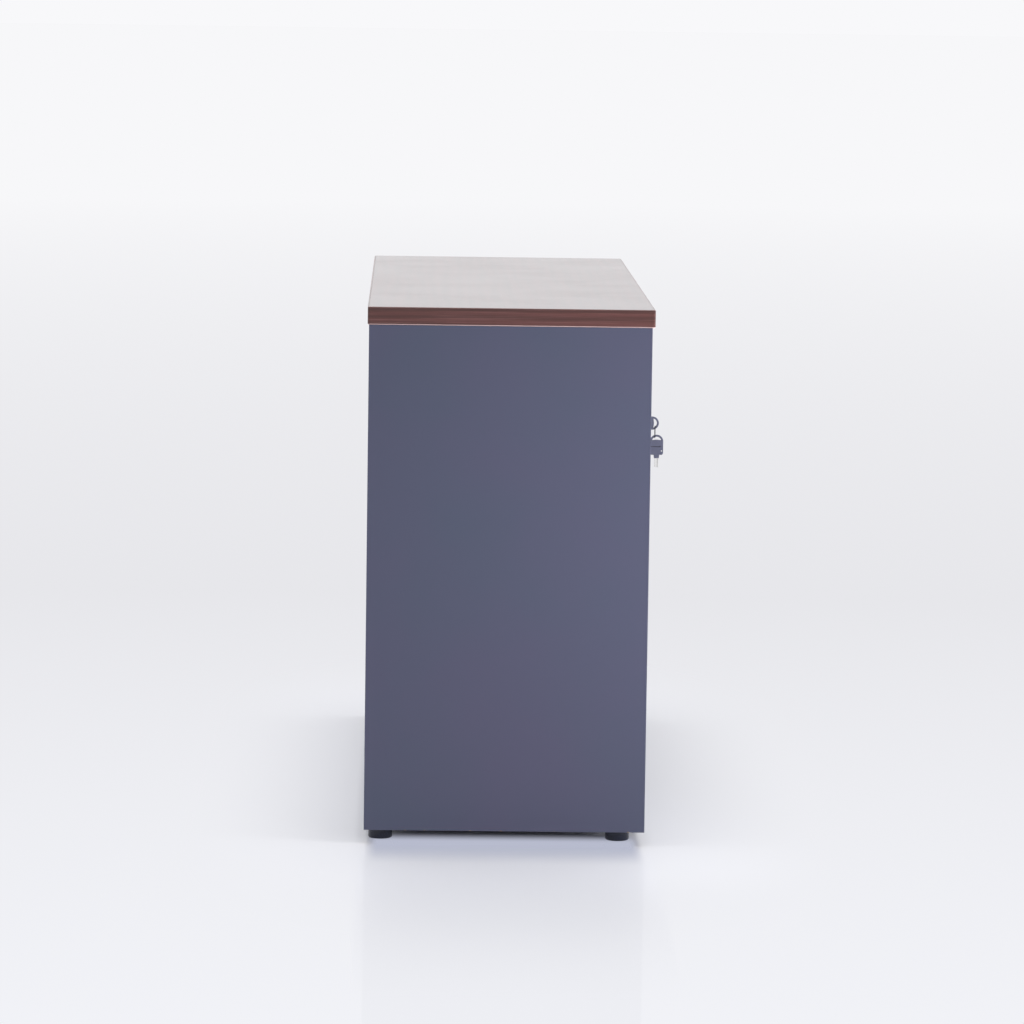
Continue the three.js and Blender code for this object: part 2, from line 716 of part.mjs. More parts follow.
function tangPocket(foot0) {
  const [w, t] = [TANG_WIDTH / 2 + FIT, TANG_THICK / 2 + FIT];
  return box(-w, w, foot0 - NECK_LENGTH - 1, foot0 + TANG_LENGTH + FIT, -t, t);
}

// A shallow groove across both faces of the head
function headGrooves(foot0) {
  const low = foot0 + HEAD_GROOVE_RISE;
  const face = HEAD_THICK / 2;
  const floorDepth = face - HEAD_GROOVE_DEPTH;
  const [x0, x1] = [-HEAD_WIDTH, HEAD_GROOVE_END];
  return [
    box(x0, x1, low, low + HEAD_GROOVE, floorDepth, face + 1),
    box(x0, x1, low, low + HEAD_GROOVE, -face - 1, -floorDepth),
  ];
}

// Tang and bitted blade below the neck
function keyBlade() {
  const foot0 = HEAD_BAR / 2 - HEAD_HEIGHT;
  const neckEnd = foot0 - NECK_LENGTH;
  const tip = neckEnd - BLADE_LENGTH;
  const [tw, tt] = [TANG_WIDTH / 2, TANG_THICK / 2];
  const [bw, bt] = [BLADE_WIDTH / 2, BLADE_THICK / 2];
  const tang = box(-tw, tw, neckEnd - 1, foot0 + TANG_LENGTH, -tt, tt);
  const blade = box(-bw, bw, tip, neckEnd - FIT, -bt, bt);
  const bits = [];
  for (let bit = 0; bit < BIT_COUNT; bit += 1) {
    const y = tip + BIT_PITCH * (bit + 1);
    const notch = new THREE.CylinderGeometry(BIT_DEPTH, BIT_DEPTH, HEAD_THICK, 4);
    bits.push(notch.rotateX(Math.PI / 2).translate(bw, y, 0));
  }
  return cut(join([tang, blade]), bits);
}

// Both heads face along the length: one key stands out of the lock, the spare hangs
function inLock(geometry) {
  const turn = new THREE.Matrix4().makeBasis(Z, Y.clone().negate(), X);
  return geometry.applyMatrix4(turn).translate(0, keyBarY, lockZ);
}

function hanging(geometry) {
  const turn = new THREE.Matrix4().makeBasis(Y.clone().negate(), Z, X.clone().negate());
  return geometry.applyMatrix4(turn).translate(0, spareY, spareZ);
}

// A small torus stretched into an oval link, through the windows of both heads
function keyLink() {
  const count = 20;
  const link = new THREE.TorusGeometry(LINK_RADIUS, LINK_WIRE, 8, count).rotateZ(Math.PI / count);
  const stretch = LINK_HEIGHT / 2 - LINK_RADIUS;
  const places = link.attributes.position;
  for (let i = 0; i < places.count; i += 1) {
    places.setY(i, places.getY(i) + Math.sign(places.getY(i)) * stretch);
  }
  return link.rotateX(Math.PI / 2).translate(0, linkY, linkTopZ - LINK_HEIGHT / 2);
}

const credenza = new THREE.Group();
credenza.name = 'credenza';

function place(name, geometry, material) {
  const mesh = new THREE.Mesh(geometry, material);
  mesh.name = name;
  credenza.add(mesh);
}

place('top_core', topCore(), brownWood);
place('top_edge_band', topEdgeBand(), brownBand);
place('left_end_panel', endPanel(-1), greyBoard);
place('right_end_panel', endPanel(1), greyBoard);
place('left_end_edging', endEdging(-1), greyBoard);
place('right_end_edging', endEdging(1), greyBoard);
place('bottom_panel', bottomPanel(), greyBoard);
place('bottom_edging', bottomEdging(), greyBoard);
place('back_panel', backPanel(), greyBoard);
place('centre_partition', centrePartition(), greyBoard);
for (const [name, side] of [['left', -1], ['right', 1]]) {
  place(`${name}_shelf`, shelf(side), greyBoard);
  shelfPins(side).forEach((pin, i) => place(`${name}_shelf_pin_${i + 1}`, pin, steel));
}
place('top_track', topTrack(), aluminium);
place('bottom_track', bottomTrack(), aluminium);
for (const { name, x, y } of footPlaces()) {
  place(`foot_insert_${name}`, footInsert().translate(x, y, 0), whiteNylon);
  place(`foot_${name}`, foot().translate(x, y, 0), blackPlastic);
}
place('front_door', frontDoor(), greyBoard);
place('rear_door', rearDoor(), greyBoard);
for (const door of ['front', 'rear']) {
  place(`${door}_pull`, flushPull(door), blackPlastic);
  for (const side of ['left', 'right']) {
    place(`${door}_roller_housing_${side}`, rollerHousing(door, side), blackPlastic);
    place(`${door}_roller_wheel_${side}`, rollerWheel(door, side), whiteNylon);
    place(`${door}_guide_${side}`, topGuide(door, side), blackPlastic);
  }
}
place('lock_body', lockBody(), zinc);
place('lock_nut', lockNut(), steel);
place('lock_plunger', lockPlunger(), zinc);
place('lock_plug', lockPlug(), steel);
place('strike_bush', strikeBush(), blackPlastic);
place('key_head', inLock(keyHead()), greyPlastic);
place('key_blade', inLock(keyBlade()), steel);
place('key_link', keyLink(), steel);
place('spare_key_head', hanging(keyHead()), greyPlastic);
place('spare_key_blade', hanging(keyBlade()), steel);

// The origin lies under the middle of the whole outline, keys included
const reachFront = spareY - HEAD_WIDTH / 2;
credenza.position.y = -(reachFront + TOP_DEPTH / 2) / 2;

export default credenza;
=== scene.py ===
# %% [markdown]
# # An office credenza
# A low cabinet seen from its end: a slate-grey board carcass under a brown wood-grain top, on
# black levelling feet, with a key in the lock of its sliding doors and a spare hanging from it.
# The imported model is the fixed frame. Every piece made here is in metres, sits on that frame and
# moves with one of its bodies, so nothing has to be fitted by eye.

# %% Load the frame
import json
import math

import bmesh
import bpy
from mathutils import Matrix, Vector


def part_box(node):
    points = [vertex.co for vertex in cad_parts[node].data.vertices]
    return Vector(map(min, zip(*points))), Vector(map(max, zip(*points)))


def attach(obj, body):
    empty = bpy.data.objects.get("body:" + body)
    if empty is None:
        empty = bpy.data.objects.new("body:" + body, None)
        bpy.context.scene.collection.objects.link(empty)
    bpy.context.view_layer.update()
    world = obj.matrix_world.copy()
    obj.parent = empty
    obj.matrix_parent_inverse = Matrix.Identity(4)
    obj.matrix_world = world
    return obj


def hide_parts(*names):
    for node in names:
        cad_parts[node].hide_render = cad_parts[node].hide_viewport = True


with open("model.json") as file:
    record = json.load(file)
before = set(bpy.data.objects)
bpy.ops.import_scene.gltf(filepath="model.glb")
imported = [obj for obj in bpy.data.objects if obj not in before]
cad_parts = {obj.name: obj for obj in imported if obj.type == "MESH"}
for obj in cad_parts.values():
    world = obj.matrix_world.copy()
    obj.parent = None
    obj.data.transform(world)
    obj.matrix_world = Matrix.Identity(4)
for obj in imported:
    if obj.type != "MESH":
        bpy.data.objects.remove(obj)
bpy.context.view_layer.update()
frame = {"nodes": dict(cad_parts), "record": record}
nodes = frame["nodes"]
MM = 0.001

# %% [markdown]
# ## The camera
# The photograph was taken with a long lens, a little above the top, looking almost straight at
# the left end. A camera can be placed by eye, but the edges of the end panel and of the top give
# enough points to solve for it: focal length, place, and the three angles. Yaw turns it towards
# the front, pitch looks down, roll leans it. The three axes become the columns of its matrix.

# %% Camera from the photograph's edges
PHOTO_PIXELS = 1024
SENSOR_MM = 36.0
FOCAL_PIXELS = 5031.47
PITCH, YAW, ROLL = (math.radians(angle) for angle in (6.2856, -1.175, 0.8014))
LENS_REACH = 200


def centre(node):
    low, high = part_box(node)
    return (low + high) / 2


EYE = Vector((-7.56819, centre("top_edge_band").y + 0.13899, 1.23855))


def photograph_camera():
    ahead = Vector((math.cos(YAW) * math.cos(PITCH), math.sin(YAW) * math.cos(PITCH), -math.sin(PITCH)))
    level = Vector((math.sin(YAW), -math.cos(YAW), 0))
    rise = level.cross(ahead)
    right = math.cos(ROLL) * level + math.sin(ROLL) * rise
    up = math.cos(ROLL) * rise - math.sin(ROLL) * level
    lens = bpy.data.cameras.new("photograph_camera")
    lens.sensor_width = SENSOR_MM
    lens.lens = FOCAL_PIXELS * SENSOR_MM / PHOTO_PIXELS
    lens.clip_end = LENS_REACH
    camera = bpy.data.objects.new("photograph_camera", lens)
    bpy.context.scene.collection.objects.link(camera)
    camera.matrix_world = Matrix.Translation(EYE) @ Matrix((right, up, -ahead)).transposed().to_4x4()
    return camera


bpy.context.scene.camera = photograph_camera()
print("lens", round(bpy.context.scene.camera.data.lens, 1), "mm")

# %% [markdown]
# ## Building materials from nodes
# Every finish below is a node tree. Small helpers keep those trees readable: srgb turns a screen
# colour into the linear value a shader takes, put adds a node with its inputs set or linked, and
# the rest are the few nodes that come back again and again: sums, ranges, mixes and noise.

# %% Node helpers
bpy.context.scene.view_settings.view_transform = "Standard"


def srgb(red, green, blue):
    def linear(level):
        share = level / 255
        return share / 12.92 if share <= 0.04045 else ((share + 0.055) / 1.055) ** 2.4

    return (linear(red), linear(green), linear(blue), 1.0)


def set_inputs(made, tree, inputs):
    for name, value in inputs.items():
        if isinstance(value, bpy.types.NodeSocket):
            tree.links.new(value, made.inputs[name])
        else:
            made.inputs[name].default_value = value
    return made


def put(tree, kind, inputs, **settings):
    made = tree.nodes.new("ShaderNode" + kind)
    for name, value in settings.items():
        setattr(made, name, value)
    return set_inputs(made, tree, inputs)


def calc(tree, operation, a, b=0.0):
    return put(tree, "Math", {0: a, 1: b}, operation=operation).outputs[0]


def spread(tree, value, low, high, to_low=0.0, to_high=1.0):
    limits = {"Value": value, "From Min": low, "From Max": high, "To Min": to_low, "To Max": to_high}
    return put(tree, "MapRange", limits).outputs["Result"]


def tint(tree, share, a, b):
    return put(tree, "Mix", {0: share, 6: a, 7: b}, data_type="RGBA").outputs[2]


def stretch(tree, vector, x, y, z):
    return put(tree, "VectorMath", {0: vector, 1: (x, y, z)}, operation="MULTIPLY").outputs[0]


def noise(tree, vector, scale, detail):
    return put(tree, "TexNoise", {"Vector": vector, "Scale": scale, "Detail": detail}).outputs[0]


print("node helpers ready")

# %% [markdown]
# A node group is an effect that several finishes share, such as grain or a fine moulded skin, with
# named inputs so that each finish uses its own values. A finish is a material with the Principled
# shader. Both start in the same way every time, so each has a helper for that.

# %% Groups and finishes
def start_group(name, inputs, outputs):
    tree = bpy.data.node_groups.new(name, "ShaderNodeTree")
    for label, kind in inputs.items():
        tree.interface.new_socket(label, in_out="INPUT", socket_type="NodeSocket" + kind)
    for label, kind in outputs.items():
        tree.interface.new_socket(label, in_out="OUTPUT", socket_type="NodeSocket" + kind)
    given = tree.nodes.new("NodeGroupInput").outputs
    made = tree.nodes.new("NodeGroupOutput").inputs
    return tree, given, made


def use(tree, effect, **inputs):
    made = tree.nodes.new("ShaderNodeGroup")
    made.node_tree = effect
    return set_inputs(made, tree, inputs).outputs


def start_finish(name, **constants):
    material = bpy.data.materials.new(name)
    material.use_nodes = True
    tree = material.node_tree
    surface = tree.nodes["Principled BSDF"]
    for label, value in constants.items():
        surface.inputs[label.replace("_", " ")].default_value = value
    place = tree.nodes.new("ShaderNodeTexCoord").outputs
    return material, tree, surface, place


def wire(tree, surface, **values):
    for label, value in values.items():
        tree.links.new(value, surface.inputs[label.replace("_", " ")])


def bump(tree, height, distance, strength):
    inputs = {"Height": height, "Distance": distance, "Strength": strength}
    return put(tree, "Bump", inputs).outputs[0]


print("group and finish helpers ready")

# %% [markdown]
# ## Shared effects
# **Wood grain** is printed on the paper of the top and on its edge band. Wood can be drawn with
# rings cut at an angle, but a printed decor needs less: slow bands for the figure, long thin
# streaks, and short dark pores, all stretched along one direction.

# %% Wood grain
FIGURE_STRETCH = (0.07, 1.0, 1.0)
BROAD_STRETCH = (1.6, 30.0, 30.0)
STREAK_STRETCH = (7.0, 620.0, 620.0)
PORE_STRETCH = (55.0, 2100.0, 2100.0)
FIGURE_WAVE = {"Scale": 17.0, "Distortion": 7.0, "Detail": 2.0, "Detail Scale": 1.1}
FIGURE_SHARE, BROAD_SHARE, PORE_SHARE = 0.4, 0.6, 0.55


def make_wood_grain():
    inputs = {"Along": "Vector", "Deep": "Color", "Body": "Color", "Pale": "Color"}
    outputs = {"Color": "Color", "Pores": "Float", "Streaks": "Float"}
    tree, given, made = start_group("wood_grain", inputs, outputs)
    along = given["Along"]
    wave = {"Vector": stretch(tree, along, *FIGURE_STRETCH), **FIGURE_WAVE}
    figure = put(tree, "TexWave", wave, bands_direction="Y").outputs["Fac"]
    broad = noise(tree, stretch(tree, along, *BROAD_STRETCH), 1.0, 2.0)
    streaks = noise(tree, stretch(tree, along, *STREAK_STRETCH), 1.0, 3.0)
    pits = noise(tree, stretch(tree, along, *PORE_STRETCH), 1.0, 1.0)
    pores = spread(tree, pits, 0.56, 0.7)
    slow = calc(tree, "MULTIPLY", figure, FIGURE_SHARE)
    shade = calc(tree, "ADD", slow, calc(tree, "MULTIPLY", broad, BROAD_SHARE))
    ground = tint(tree, spread(tree, shade, 0.25, 0.75), given["Deep"], given["Body"])
    streaked = tint(tree, spread(tree, streaks, 0.5, 0.72), ground, given["Pale"])
    dark = tint(tree, calc(tree, "MULTIPLY", pores, PORE_SHARE), streaked, given["Deep"])
    tree.links.new(dark, made["Color"])
    tree.links.new(pores, made["Pores"])
    tree.links.new(streaks, made["Streaks"])
    return tree


wood_grain = make_wood_grain()
print("group", wood_grain.name)

# %% [markdown]
# **A fine skin** is what pressed melamine and moulded plastic have in common: a tiny orange peel
# that softens reflections, and a slow drift of tone over the whole face. Both are noise, one at
# a fraction of a millimetre and one at a hand's width, and each finish sets its own two scales.

# %% Fine skin
def make_fine_skin():
    inputs = {"Place": "Vector", "Peel Scale": "Float", "Drift Scale": "Float"}
    tree, given, made = start_group("fine_skin", inputs, {"Peel": "Float", "Drift": "Float"})
    tree.links.new(noise(tree, given["Place"], given["Peel Scale"], 2.0), made["Peel"])
    tree.links.new(noise(tree, given["Place"], given["Drift Scale"], 3.0), made["Drift"])
    return tree


def skin_of(tree, place, peel, drift):
    return use(tree, fine_skin, Place=place["Object"], **{"Peel Scale": peel, "Drift Scale": drift})


fine_skin = make_fine_skin()
print("group", fine_skin.name)

# %% [markdown]
# **Rubbed edges** come from handling: the sharp arris of a board, key or foot loses its skin
# first. The Bevel node gives a rounded normal near edges. Where it turns away from the true
# normal there is an edge, and noise breaks that line up so that the wear is not drawn with a pen.

# %% Rubbed edges
def make_rubbed_edges():
    inputs = {"Place": "Vector", "Reach": "Float", "Patch Scale": "Float"}
    tree, given, made = start_group("rubbed_edges", inputs, {"Mask": "Float"})
    rounded = put(tree, "Bevel", {"Radius": given["Reach"]}, samples=4).outputs[0]
    true = tree.nodes.new("ShaderNodeNewGeometry").outputs["True Normal"]
    facing = put(tree, "VectorMath", {0: rounded, 1: true}, operation="DOT_PRODUCT").outputs["Value"]
    edge = spread(tree, facing, 0.99, 0.75)
    patches = spread(tree, noise(tree, given["Place"], given["Patch Scale"], 3.0), 0.4, 0.65)
    tree.links.new(calc(tree, "MULTIPLY", edge, patches), made["Mask"])
    return tree


def worn_edges(tree, place, reach, patch_scale):
    values = {"Reach": reach, "Patch Scale": patch_scale}
    return use(tree, rubbed_edges, Place=place["Object"], **values)["Mask"]


rubbed_edges = make_rubbed_edges()
print("group", rubbed_edges.name)

# %% [markdown]
# **Drawn lines** are the long fine scratches that a die, a brush or a polishing wheel leaves in
# metal. They are noise again, stretched so far in one direction that only lines are left. The
# lines change the roughness, which is what makes bare metal look worked instead of poured.

# %% Drawn lines
LINE_STRETCH = (12.0, 3600.0, 3600.0)
HAZE_SCALE = 38.0


def make_drawn_lines():
    outputs = {"Lines": "Float", "Haze": "Float"}
    tree, given, made = start_group("drawn_lines", {"Along": "Vector"}, outputs)
    lines = noise(tree, stretch(tree, given["Along"], *LINE_STRETCH), 1.0, 2.0)
    tree.links.new(lines, made["Lines"])
    tree.links.new(noise(tree, given["Along"], HAZE_SCALE, 3.0), made["Haze"])
    return tree


drawn_lines = make_drawn_lines()
print("group", drawn_lines.name)

# %% [markdown]
# **Settled dust** lies on what faces up: the shoulders of feet, wheels and housings. The up
# direction is read in the piece's own space, so the dust stays with the piece when it slides or
# swings.

# %% Settled dust
SPECK_SCALE = 420.0


def make_settled_dust():
    inputs = {"Place": "Vector", "Up": "Vector"}
    tree, given, made = start_group("settled_dust", inputs, {"Mask": "Float"})
    upward = put(tree, "SeparateXYZ", {0: given["Up"]}).outputs["Z"]
    lying = spread(tree, upward, 0.45, 0.95)
    specks = spread(tree, noise(tree, given["Place"], SPECK_SCALE, 4.0), 0.45, 0.75)
    tree.links.new(calc(tree, "MULTIPLY", lying, specks), made["Mask"])
    return tree


settled_dust = make_settled_dust()
print("group", settled_dust.name)

# %% [markdown]
# ** Painted shade in recesses** is the opposite of rubbed edges: grooves and inside corners are
# darkened where shade falls. The Ambient Occlusion node tells how closed in a point is, within a
# distance that each finish sets, and noise keeps the dark line from being even.

# %% Painted shade in recesses
RECESS_SHADE_SCALE = 350.0


def make_painted_recess_shade():
    inputs = {"Place": "Vector", "Reach": "Float"}
    tree, given, made = start_group("painted_recess_shade", inputs, {"Mask": "Float"})
    # painted shade: ambient occlusion darkens grooves and inside corners, where shade falls
    open_share = put(tree, "AmbientOcclusion", {"Distance": given["Reach"]}, samples=8).outputs["AO"]
    closed = spread(tree, open_share, 0.92, 0.5)
    patches = spread(tree, noise(tree, given["Place"], RECESS_SHADE_SCALE, 2.0), 0.2, 0.6, 0.6, 1.0)
    tree.links.new(calc(tree, "MULTIPLY", closed, patches), made["Mask"])
    return tree


painted_recess_shade = make_painted_recess_shade()
print("group", painted_recess_shade.name)

# %% [markdown]
# ## The brown top
# The slab is chipboard faced with a printed, resin-hard paper. Seen along its length it reflects
# the pale room almost like a mirror, because any smooth lacquer does at such a low angle. So the
# finish needs no white paint: a low roughness on a brown grain gives the pale top by itself.

# %% Brown wood-grain top
BROWNS = {"Deep": srgb(62, 35, 31), "Body": srgb(91, 53, 50), "Pale": srgb(111, 75, 73)}
PORE_DEPTH = 0.03 * MM


def brown_top():
    material, tree, surface, place = start_finish("brown_top", IOR=1.5)
    grain = use(tree, wood_grain, Along=place["Object"], **BROWNS)
    skin = skin_of(tree, place, 900.0, 7.0)
    rough = spread(tree, skin["Drift"], 0.3, 0.7, 0.09, 0.13)
    height = calc(tree, "SUBTRACT", calc(tree, "MULTIPLY", skin["Peel"], 0.25), grain["Pores"])
    relief = bump(tree, height, PORE_DEPTH, 0.12)
    wire(tree, surface, Base_Color=grain["Color"], Roughness=rough, Normal=relief)
    return material


top_finish = brown_top()
print("finish", top_finish.name)

# %% [markdown]
# The edge band is a 2 mm plastic strip with the same print, glued round the slab. Its grain
# follows the strip, so it runs sideways on the ends and lengthways on the front. After gluing,
# both arrises are milled round. A thin pale line is painted along them: partly the strip's paler
# body where the milling cuts the print, partly a painted highlight, the bright line under the slab.

# %% Brown edge band with a pale line and a painted highlight on its milled arrises
# pale arris colour: partly the strip's paler body, partly a painted highlight
ARRIS_PALE_AND_HIGHLIGHT = srgb(215, 184, 182)
LOWER_ARRIS = 1.5 * MM
UPPER_ARRIS = 0.4 * MM
UPPER_SHARE = 0.5
TOP_GLOSS = 0.11
STREAK_SQUEEZE = 1.7
slab_low, slab_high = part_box("top_edge_band")


def brown_band():
    material, tree, surface, place = start_finish("brown_band", IOR=1.5)
    facing = put(tree, "SeparateXYZ", {0: place["Normal"]}).outputs
    spot = put(tree, "SeparateXYZ", {0: place["Object"]}).outputs
    on_end = calc(tree, "GREATER_THAN", calc(tree, "ABSOLUTE", facing["X"]), 0.6)
    run = put(tree, "Mix", {0: on_end, 2: spot["X"], 3: spot["Y"]}).outputs[0]
    rise = calc(tree, "MULTIPLY", spot["Z"], STREAK_SQUEEZE)
    along = put(tree, "CombineXYZ", {"X": run, "Y": rise, "Z": on_end}).outputs[0]
    grain = use(tree, wood_grain, Along=along, **BROWNS)
    # painted highlight: a pale line along the lower arris, and at half share along the upper one
    low = spread(tree, spot["Z"], slab_low.z + LOWER_ARRIS, slab_low.z + 0.6 * LOWER_ARRIS)
    high = spread(tree, spot["Z"], slab_high.z - UPPER_ARRIS, slab_high.z - 0.6 * UPPER_ARRIS)
    lying = spread(tree, facing["Z"], 0.9, 0.98)
    steep = calc(tree, "SUBTRACT", UPPER_SHARE, calc(tree, "MULTIPLY", lying, UPPER_SHARE))
    arris_pale_and_highlight = calc(tree, "ADD", low, calc(tree, "MULTIPLY", high, steep))
    colour = tint(tree, arris_pale_and_highlight, grain["Color"], ARRIS_PALE_AND_HIGHLIGHT)
    satin = spread(tree, grain["Streaks"], 0.3, 0.7, 0.3, 0.42)
    rough = put(tree, "Mix", {0: lying, 2: satin, 3: TOP_GLOSS}).outputs[0]
    relief = bump(tree, grain["Pores"], PORE_DEPTH, 0.15)
    wire(tree, surface, Base_Color=colour, Roughness=rough, Normal=relief)
    return material


band_finish = brown_band()
print("finish", band_finish.name)

# %% [markdown]
# ## The slate-grey boards
# Carcass, doors and shelves are chipboard with a slate-grey melamine face. The photograph shows
# an even satin face whose tone drifts between a cooler and a warmer grey. The end panels also
# have bare lower edges with a few chips along the arris, where the pale core shows.

# %% Grey melamine
COOL_SLATE = srgb(71, 76, 96)
WARM_SLATE = srgb(76, 75, 98)
RUBBED_SLATE = srgb(120, 122, 140)
CORE_TAN = srgb(186, 164, 132)
CORE_BROWN = srgb(126, 100, 74)
CHIP_REACH = 1.3 * MM
CRUMB_SCALE, FLAKE_SCALE = 420.0, 95.0
PEEL_DEPTH = 0.02 * MM


def bare_core(tree, place, colour, floor_gap):
    """The chipped lower arris and the raw chipboard of edges that face down."""
    spot = put(tree, "SeparateXYZ", {0: place["Object"]}).outputs
    facing = put(tree, "SeparateXYZ", {0: place["Normal"]}).outputs
    cells = {"Vector": place["Object"], "Scale": CRUMB_SCALE}
    crumbs = put(tree, "TexVoronoi", cells).outputs["Color"]
    crumb = put(tree, "SeparateXYZ", {0: crumbs}).outputs["X"]
    core = tint(tree, crumb, CORE_TAN, CORE_BROWN)
    low = spread(tree, spot["Z"], floor_gap + CHIP_REACH, floor_gap + 0.2 * CHIP_REACH)
    flakes = spread(tree, noise(tree, place["Object"], FLAKE_SCALE, 4.0), 0.6, 0.63)
    down = spread(tree, facing["Z"], -0.5, -0.9)
    bare = calc(tree, "MAXIMUM", calc(tree, "MULTIPLY", low, flakes), down)
    return tint(tree, bare, colour, core)


def grey_melamine(name, core_below=None):
    material, tree, surface, place = start_finish(name, IOR=1.5, Specular_IOR_Level=0.4)
    skin = skin_of(tree, place, 1300.0, 4.5)
    rubbed = worn_edges(tree, place, 0.6 * MM, 60.0)
    colour = tint(tree, spread(tree, skin["Drift"], 0.3, 0.7), COOL_SLATE, WARM_SLATE)
    flecked = tint(tree, spread(tree, skin["Peel"], 0.35, 0.75, 0.0, 0.07), colour, RUBBED_SLATE)
    worn = tint(tree, calc(tree, "MULTIPLY", rubbed, 0.45), flecked, RUBBED_SLATE)
    if core_below is not None:
        worn = bare_core(tree, place, worn, core_below)
    rough = spread(tree, skin["Peel"], 0.3, 0.7, 0.38, 0.5)
    relief = bump(tree, skin["Peel"], PEEL_DEPTH, 0.2)
    wire(tree, surface, Base_Color=worn, Roughness=rough, Normal=relief)
    return material


end_panel_low, end_panel_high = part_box("left_end_panel")
board_finish = grey_melamine("grey_melamine")
end_finish = grey_melamine("grey_end_melamine", end_panel_low.z)
print("finishes", board_finish.name, end_finish.name)

# %% [markdown]
# The front edges wear a 1 mm plastic edging in the same grey. Extruded strip is smoother than
# pressed paper, so it shines a little more, and its rounded corners are where a cabinet gets
# knocked first.

# %% Grey edging
def grey_edging():
    material, tree, surface, place = start_finish("grey_edging", IOR=1.5)
    skin = skin_of(tree, place, 700.0, 9.0)
    rubbed = worn_edges(tree, place, 0.5 * MM, 45.0)
    colour = tint(tree, spread(tree, skin["Drift"], 0.3, 0.7), COOL_SLATE, WARM_SLATE)
    worn = tint(tree, calc(tree, "MULTIPLY", rubbed, 0.6), colour, RUBBED_SLATE)
    rough = spread(tree, skin["Drift"], 0.3, 0.7, 0.27, 0.36)
    relief = bump(tree, skin["Peel"], PEEL_DEPTH, 0.08)
    wire(tree, surface, Base_Color=worn, Roughness=rough, Normal=relief)
    return material


edging_finish = grey_edging()
print("finish", edging_finish.name)

# %% [markdown]
# ## Moulded plastics
# Feet, pulls, roller housings and guides are black plastic, the wheels and sleeves white nylon,
# and the key heads grey. One function makes all three: a fine moulded skin, edges polished by
# handling, dust where it can lie, and painted shade in recesses. Only the colours and the grain
# of the skin differ.

# %% Moulded plastics
DUST = srgb(150, 148, 146)
# the colour, reach and share of the painted shade in grooves and inside corners
RECESS_SHADE = srgb(24, 24, 32)
RECESS_SHADE_REACH, RECESS_SHADE_SHARE = 2.0 * MM, 0.85
MOULD_SKIN = 0.04 * MM


def moulded(name, dull, bright, edge, peel_scale, roughness, dust):
    material, tree, surface, place = start_finish(name, IOR=1.49)
    skin = skin_of(tree, place, peel_scale, 70.0)
    rubbed = worn_edges(tree, place, 0.7 * MM, 200.0)
    colour = tint(tree, spread(tree, skin["Drift"], 0.3, 0.7), dull, bright)
    worn = tint(tree, calc(tree, "MULTIPLY", rubbed, 0.5), colour, edge)
    lying = use(tree, settled_dust, Place=place["Object"], Up=place["Normal"])["Mask"]
    dusty = tint(tree, calc(tree, "MULTIPLY", lying, dust), worn, DUST)
    # painted shade: darker in grooves and inside corners, where shade falls
    closed = use(tree, painted_recess_shade, Place=place["Object"], Reach=RECESS_SHADE_REACH)["Mask"]
    recess_shaded = tint(tree, calc(tree, "MULTIPLY", closed, RECESS_SHADE_SHARE), dusty, RECESS_SHADE)
    rough = spread(tree, skin["Peel"], 0.3, 0.7, roughness - 0.06, roughness + 0.08)
    relief = bump(tree, skin["Peel"], MOULD_SKIN, 0.25)
    wire(tree, surface, Base_Color=recess_shaded, Roughness=rough, Normal=relief)
    return material


blacks = (srgb(15, 19, 35), srgb(20, 24, 42), srgb(56, 59, 72))
whites = (srgb(222, 219, 208), srgb(232, 229, 220), srgb(240, 238, 232))
greys = (srgb(112, 114, 136), srgb(119, 121, 143), srgb(140, 141, 155))
black_finish = moulded("black_moulding", *blacks, 1900.0, 0.3, 0.1)
nylon_finish = moulded("white_nylon", *whites, 1200.0, 0.5, 0.2)
key_finish = moulded("grey_key_moulding", *greys, 2600.0, 0.42, 0.0)
print("finishes", black_finish.name, nylon_finish.name, key_finish.name)

# %% [markdown]
# ## Metals
# Metal is a mirror with a colour, so its finish is mostly roughness. The tracks are drawn
# aluminium with lines along their length, lock and key blades are nickel plate, the pins and
# screws bright steel, and the link has the darker grey of spring wire.

# %% Metals
LENGTHWAYS = (1.0, 1.0, 1.0)
FINE_ROUND = (60.0, 0.3, 0.3)
LINE_DEPTH = 0.01 * MM


def worked_metal(name, dull, bright, low, high, along):
    material, tree, surface, place = start_finish(name, Metallic=1.0)
    lines = use(tree, drawn_lines, Along=stretch(tree, place["Object"], *along))
    rubbed = worn_edges(tree, place, 0.4 * MM, 300.0)
    colour = tint(tree, spread(tree, lines["Haze"], 0.3, 0.7), dull, bright)
    worn = tint(tree, calc(tree, "MULTIPLY", rubbed, 0.4), colour, bright)
    rough = spread(tree, calc(tree, "ADD", lines["Lines"], lines["Haze"]), 0.7, 1.3, low, high)
    relief = bump(tree, lines["Lines"], LINE_DEPTH, 0.15)
    wire(tree, surface, Base_Color=worn, Roughness=rough, Normal=relief)
    return material


aluminiums = (srgb(176, 179, 184), srgb(192, 195, 199))
steels = (srgb(160, 158, 154), srgb(184, 182, 177))
nickels = (srgb(190, 190, 190), srgb(208, 207, 204))
bright_nickels = (srgb(232, 231, 228), srgb(244, 243, 240))
dark_steels = (srgb(84, 84, 90), srgb(102, 102, 108))
aluminium_finish = worked_metal("drawn_aluminium", *aluminiums, 0.28, 0.42, LENGTHWAYS)
steel_finish = worked_metal("bright_steel", *steels, 0.26, 0.4, FINE_ROUND)
nickel_finish = worked_metal("nickel_plate", *nickels, 0.1, 0.2, FINE_ROUND)
blade_finish = worked_metal("polished_nickel", *bright_nickels, 0.1, 0.18, FINE_ROUND)
spring_finish = worked_metal("spring_steel", *dark_steels, 0.26, 0.4, FINE_ROUND)
metals = (aluminium_finish, steel_finish, nickel_finish, blade_finish, spring_finish)
print("finishes", *(metal.name for metal in metals))

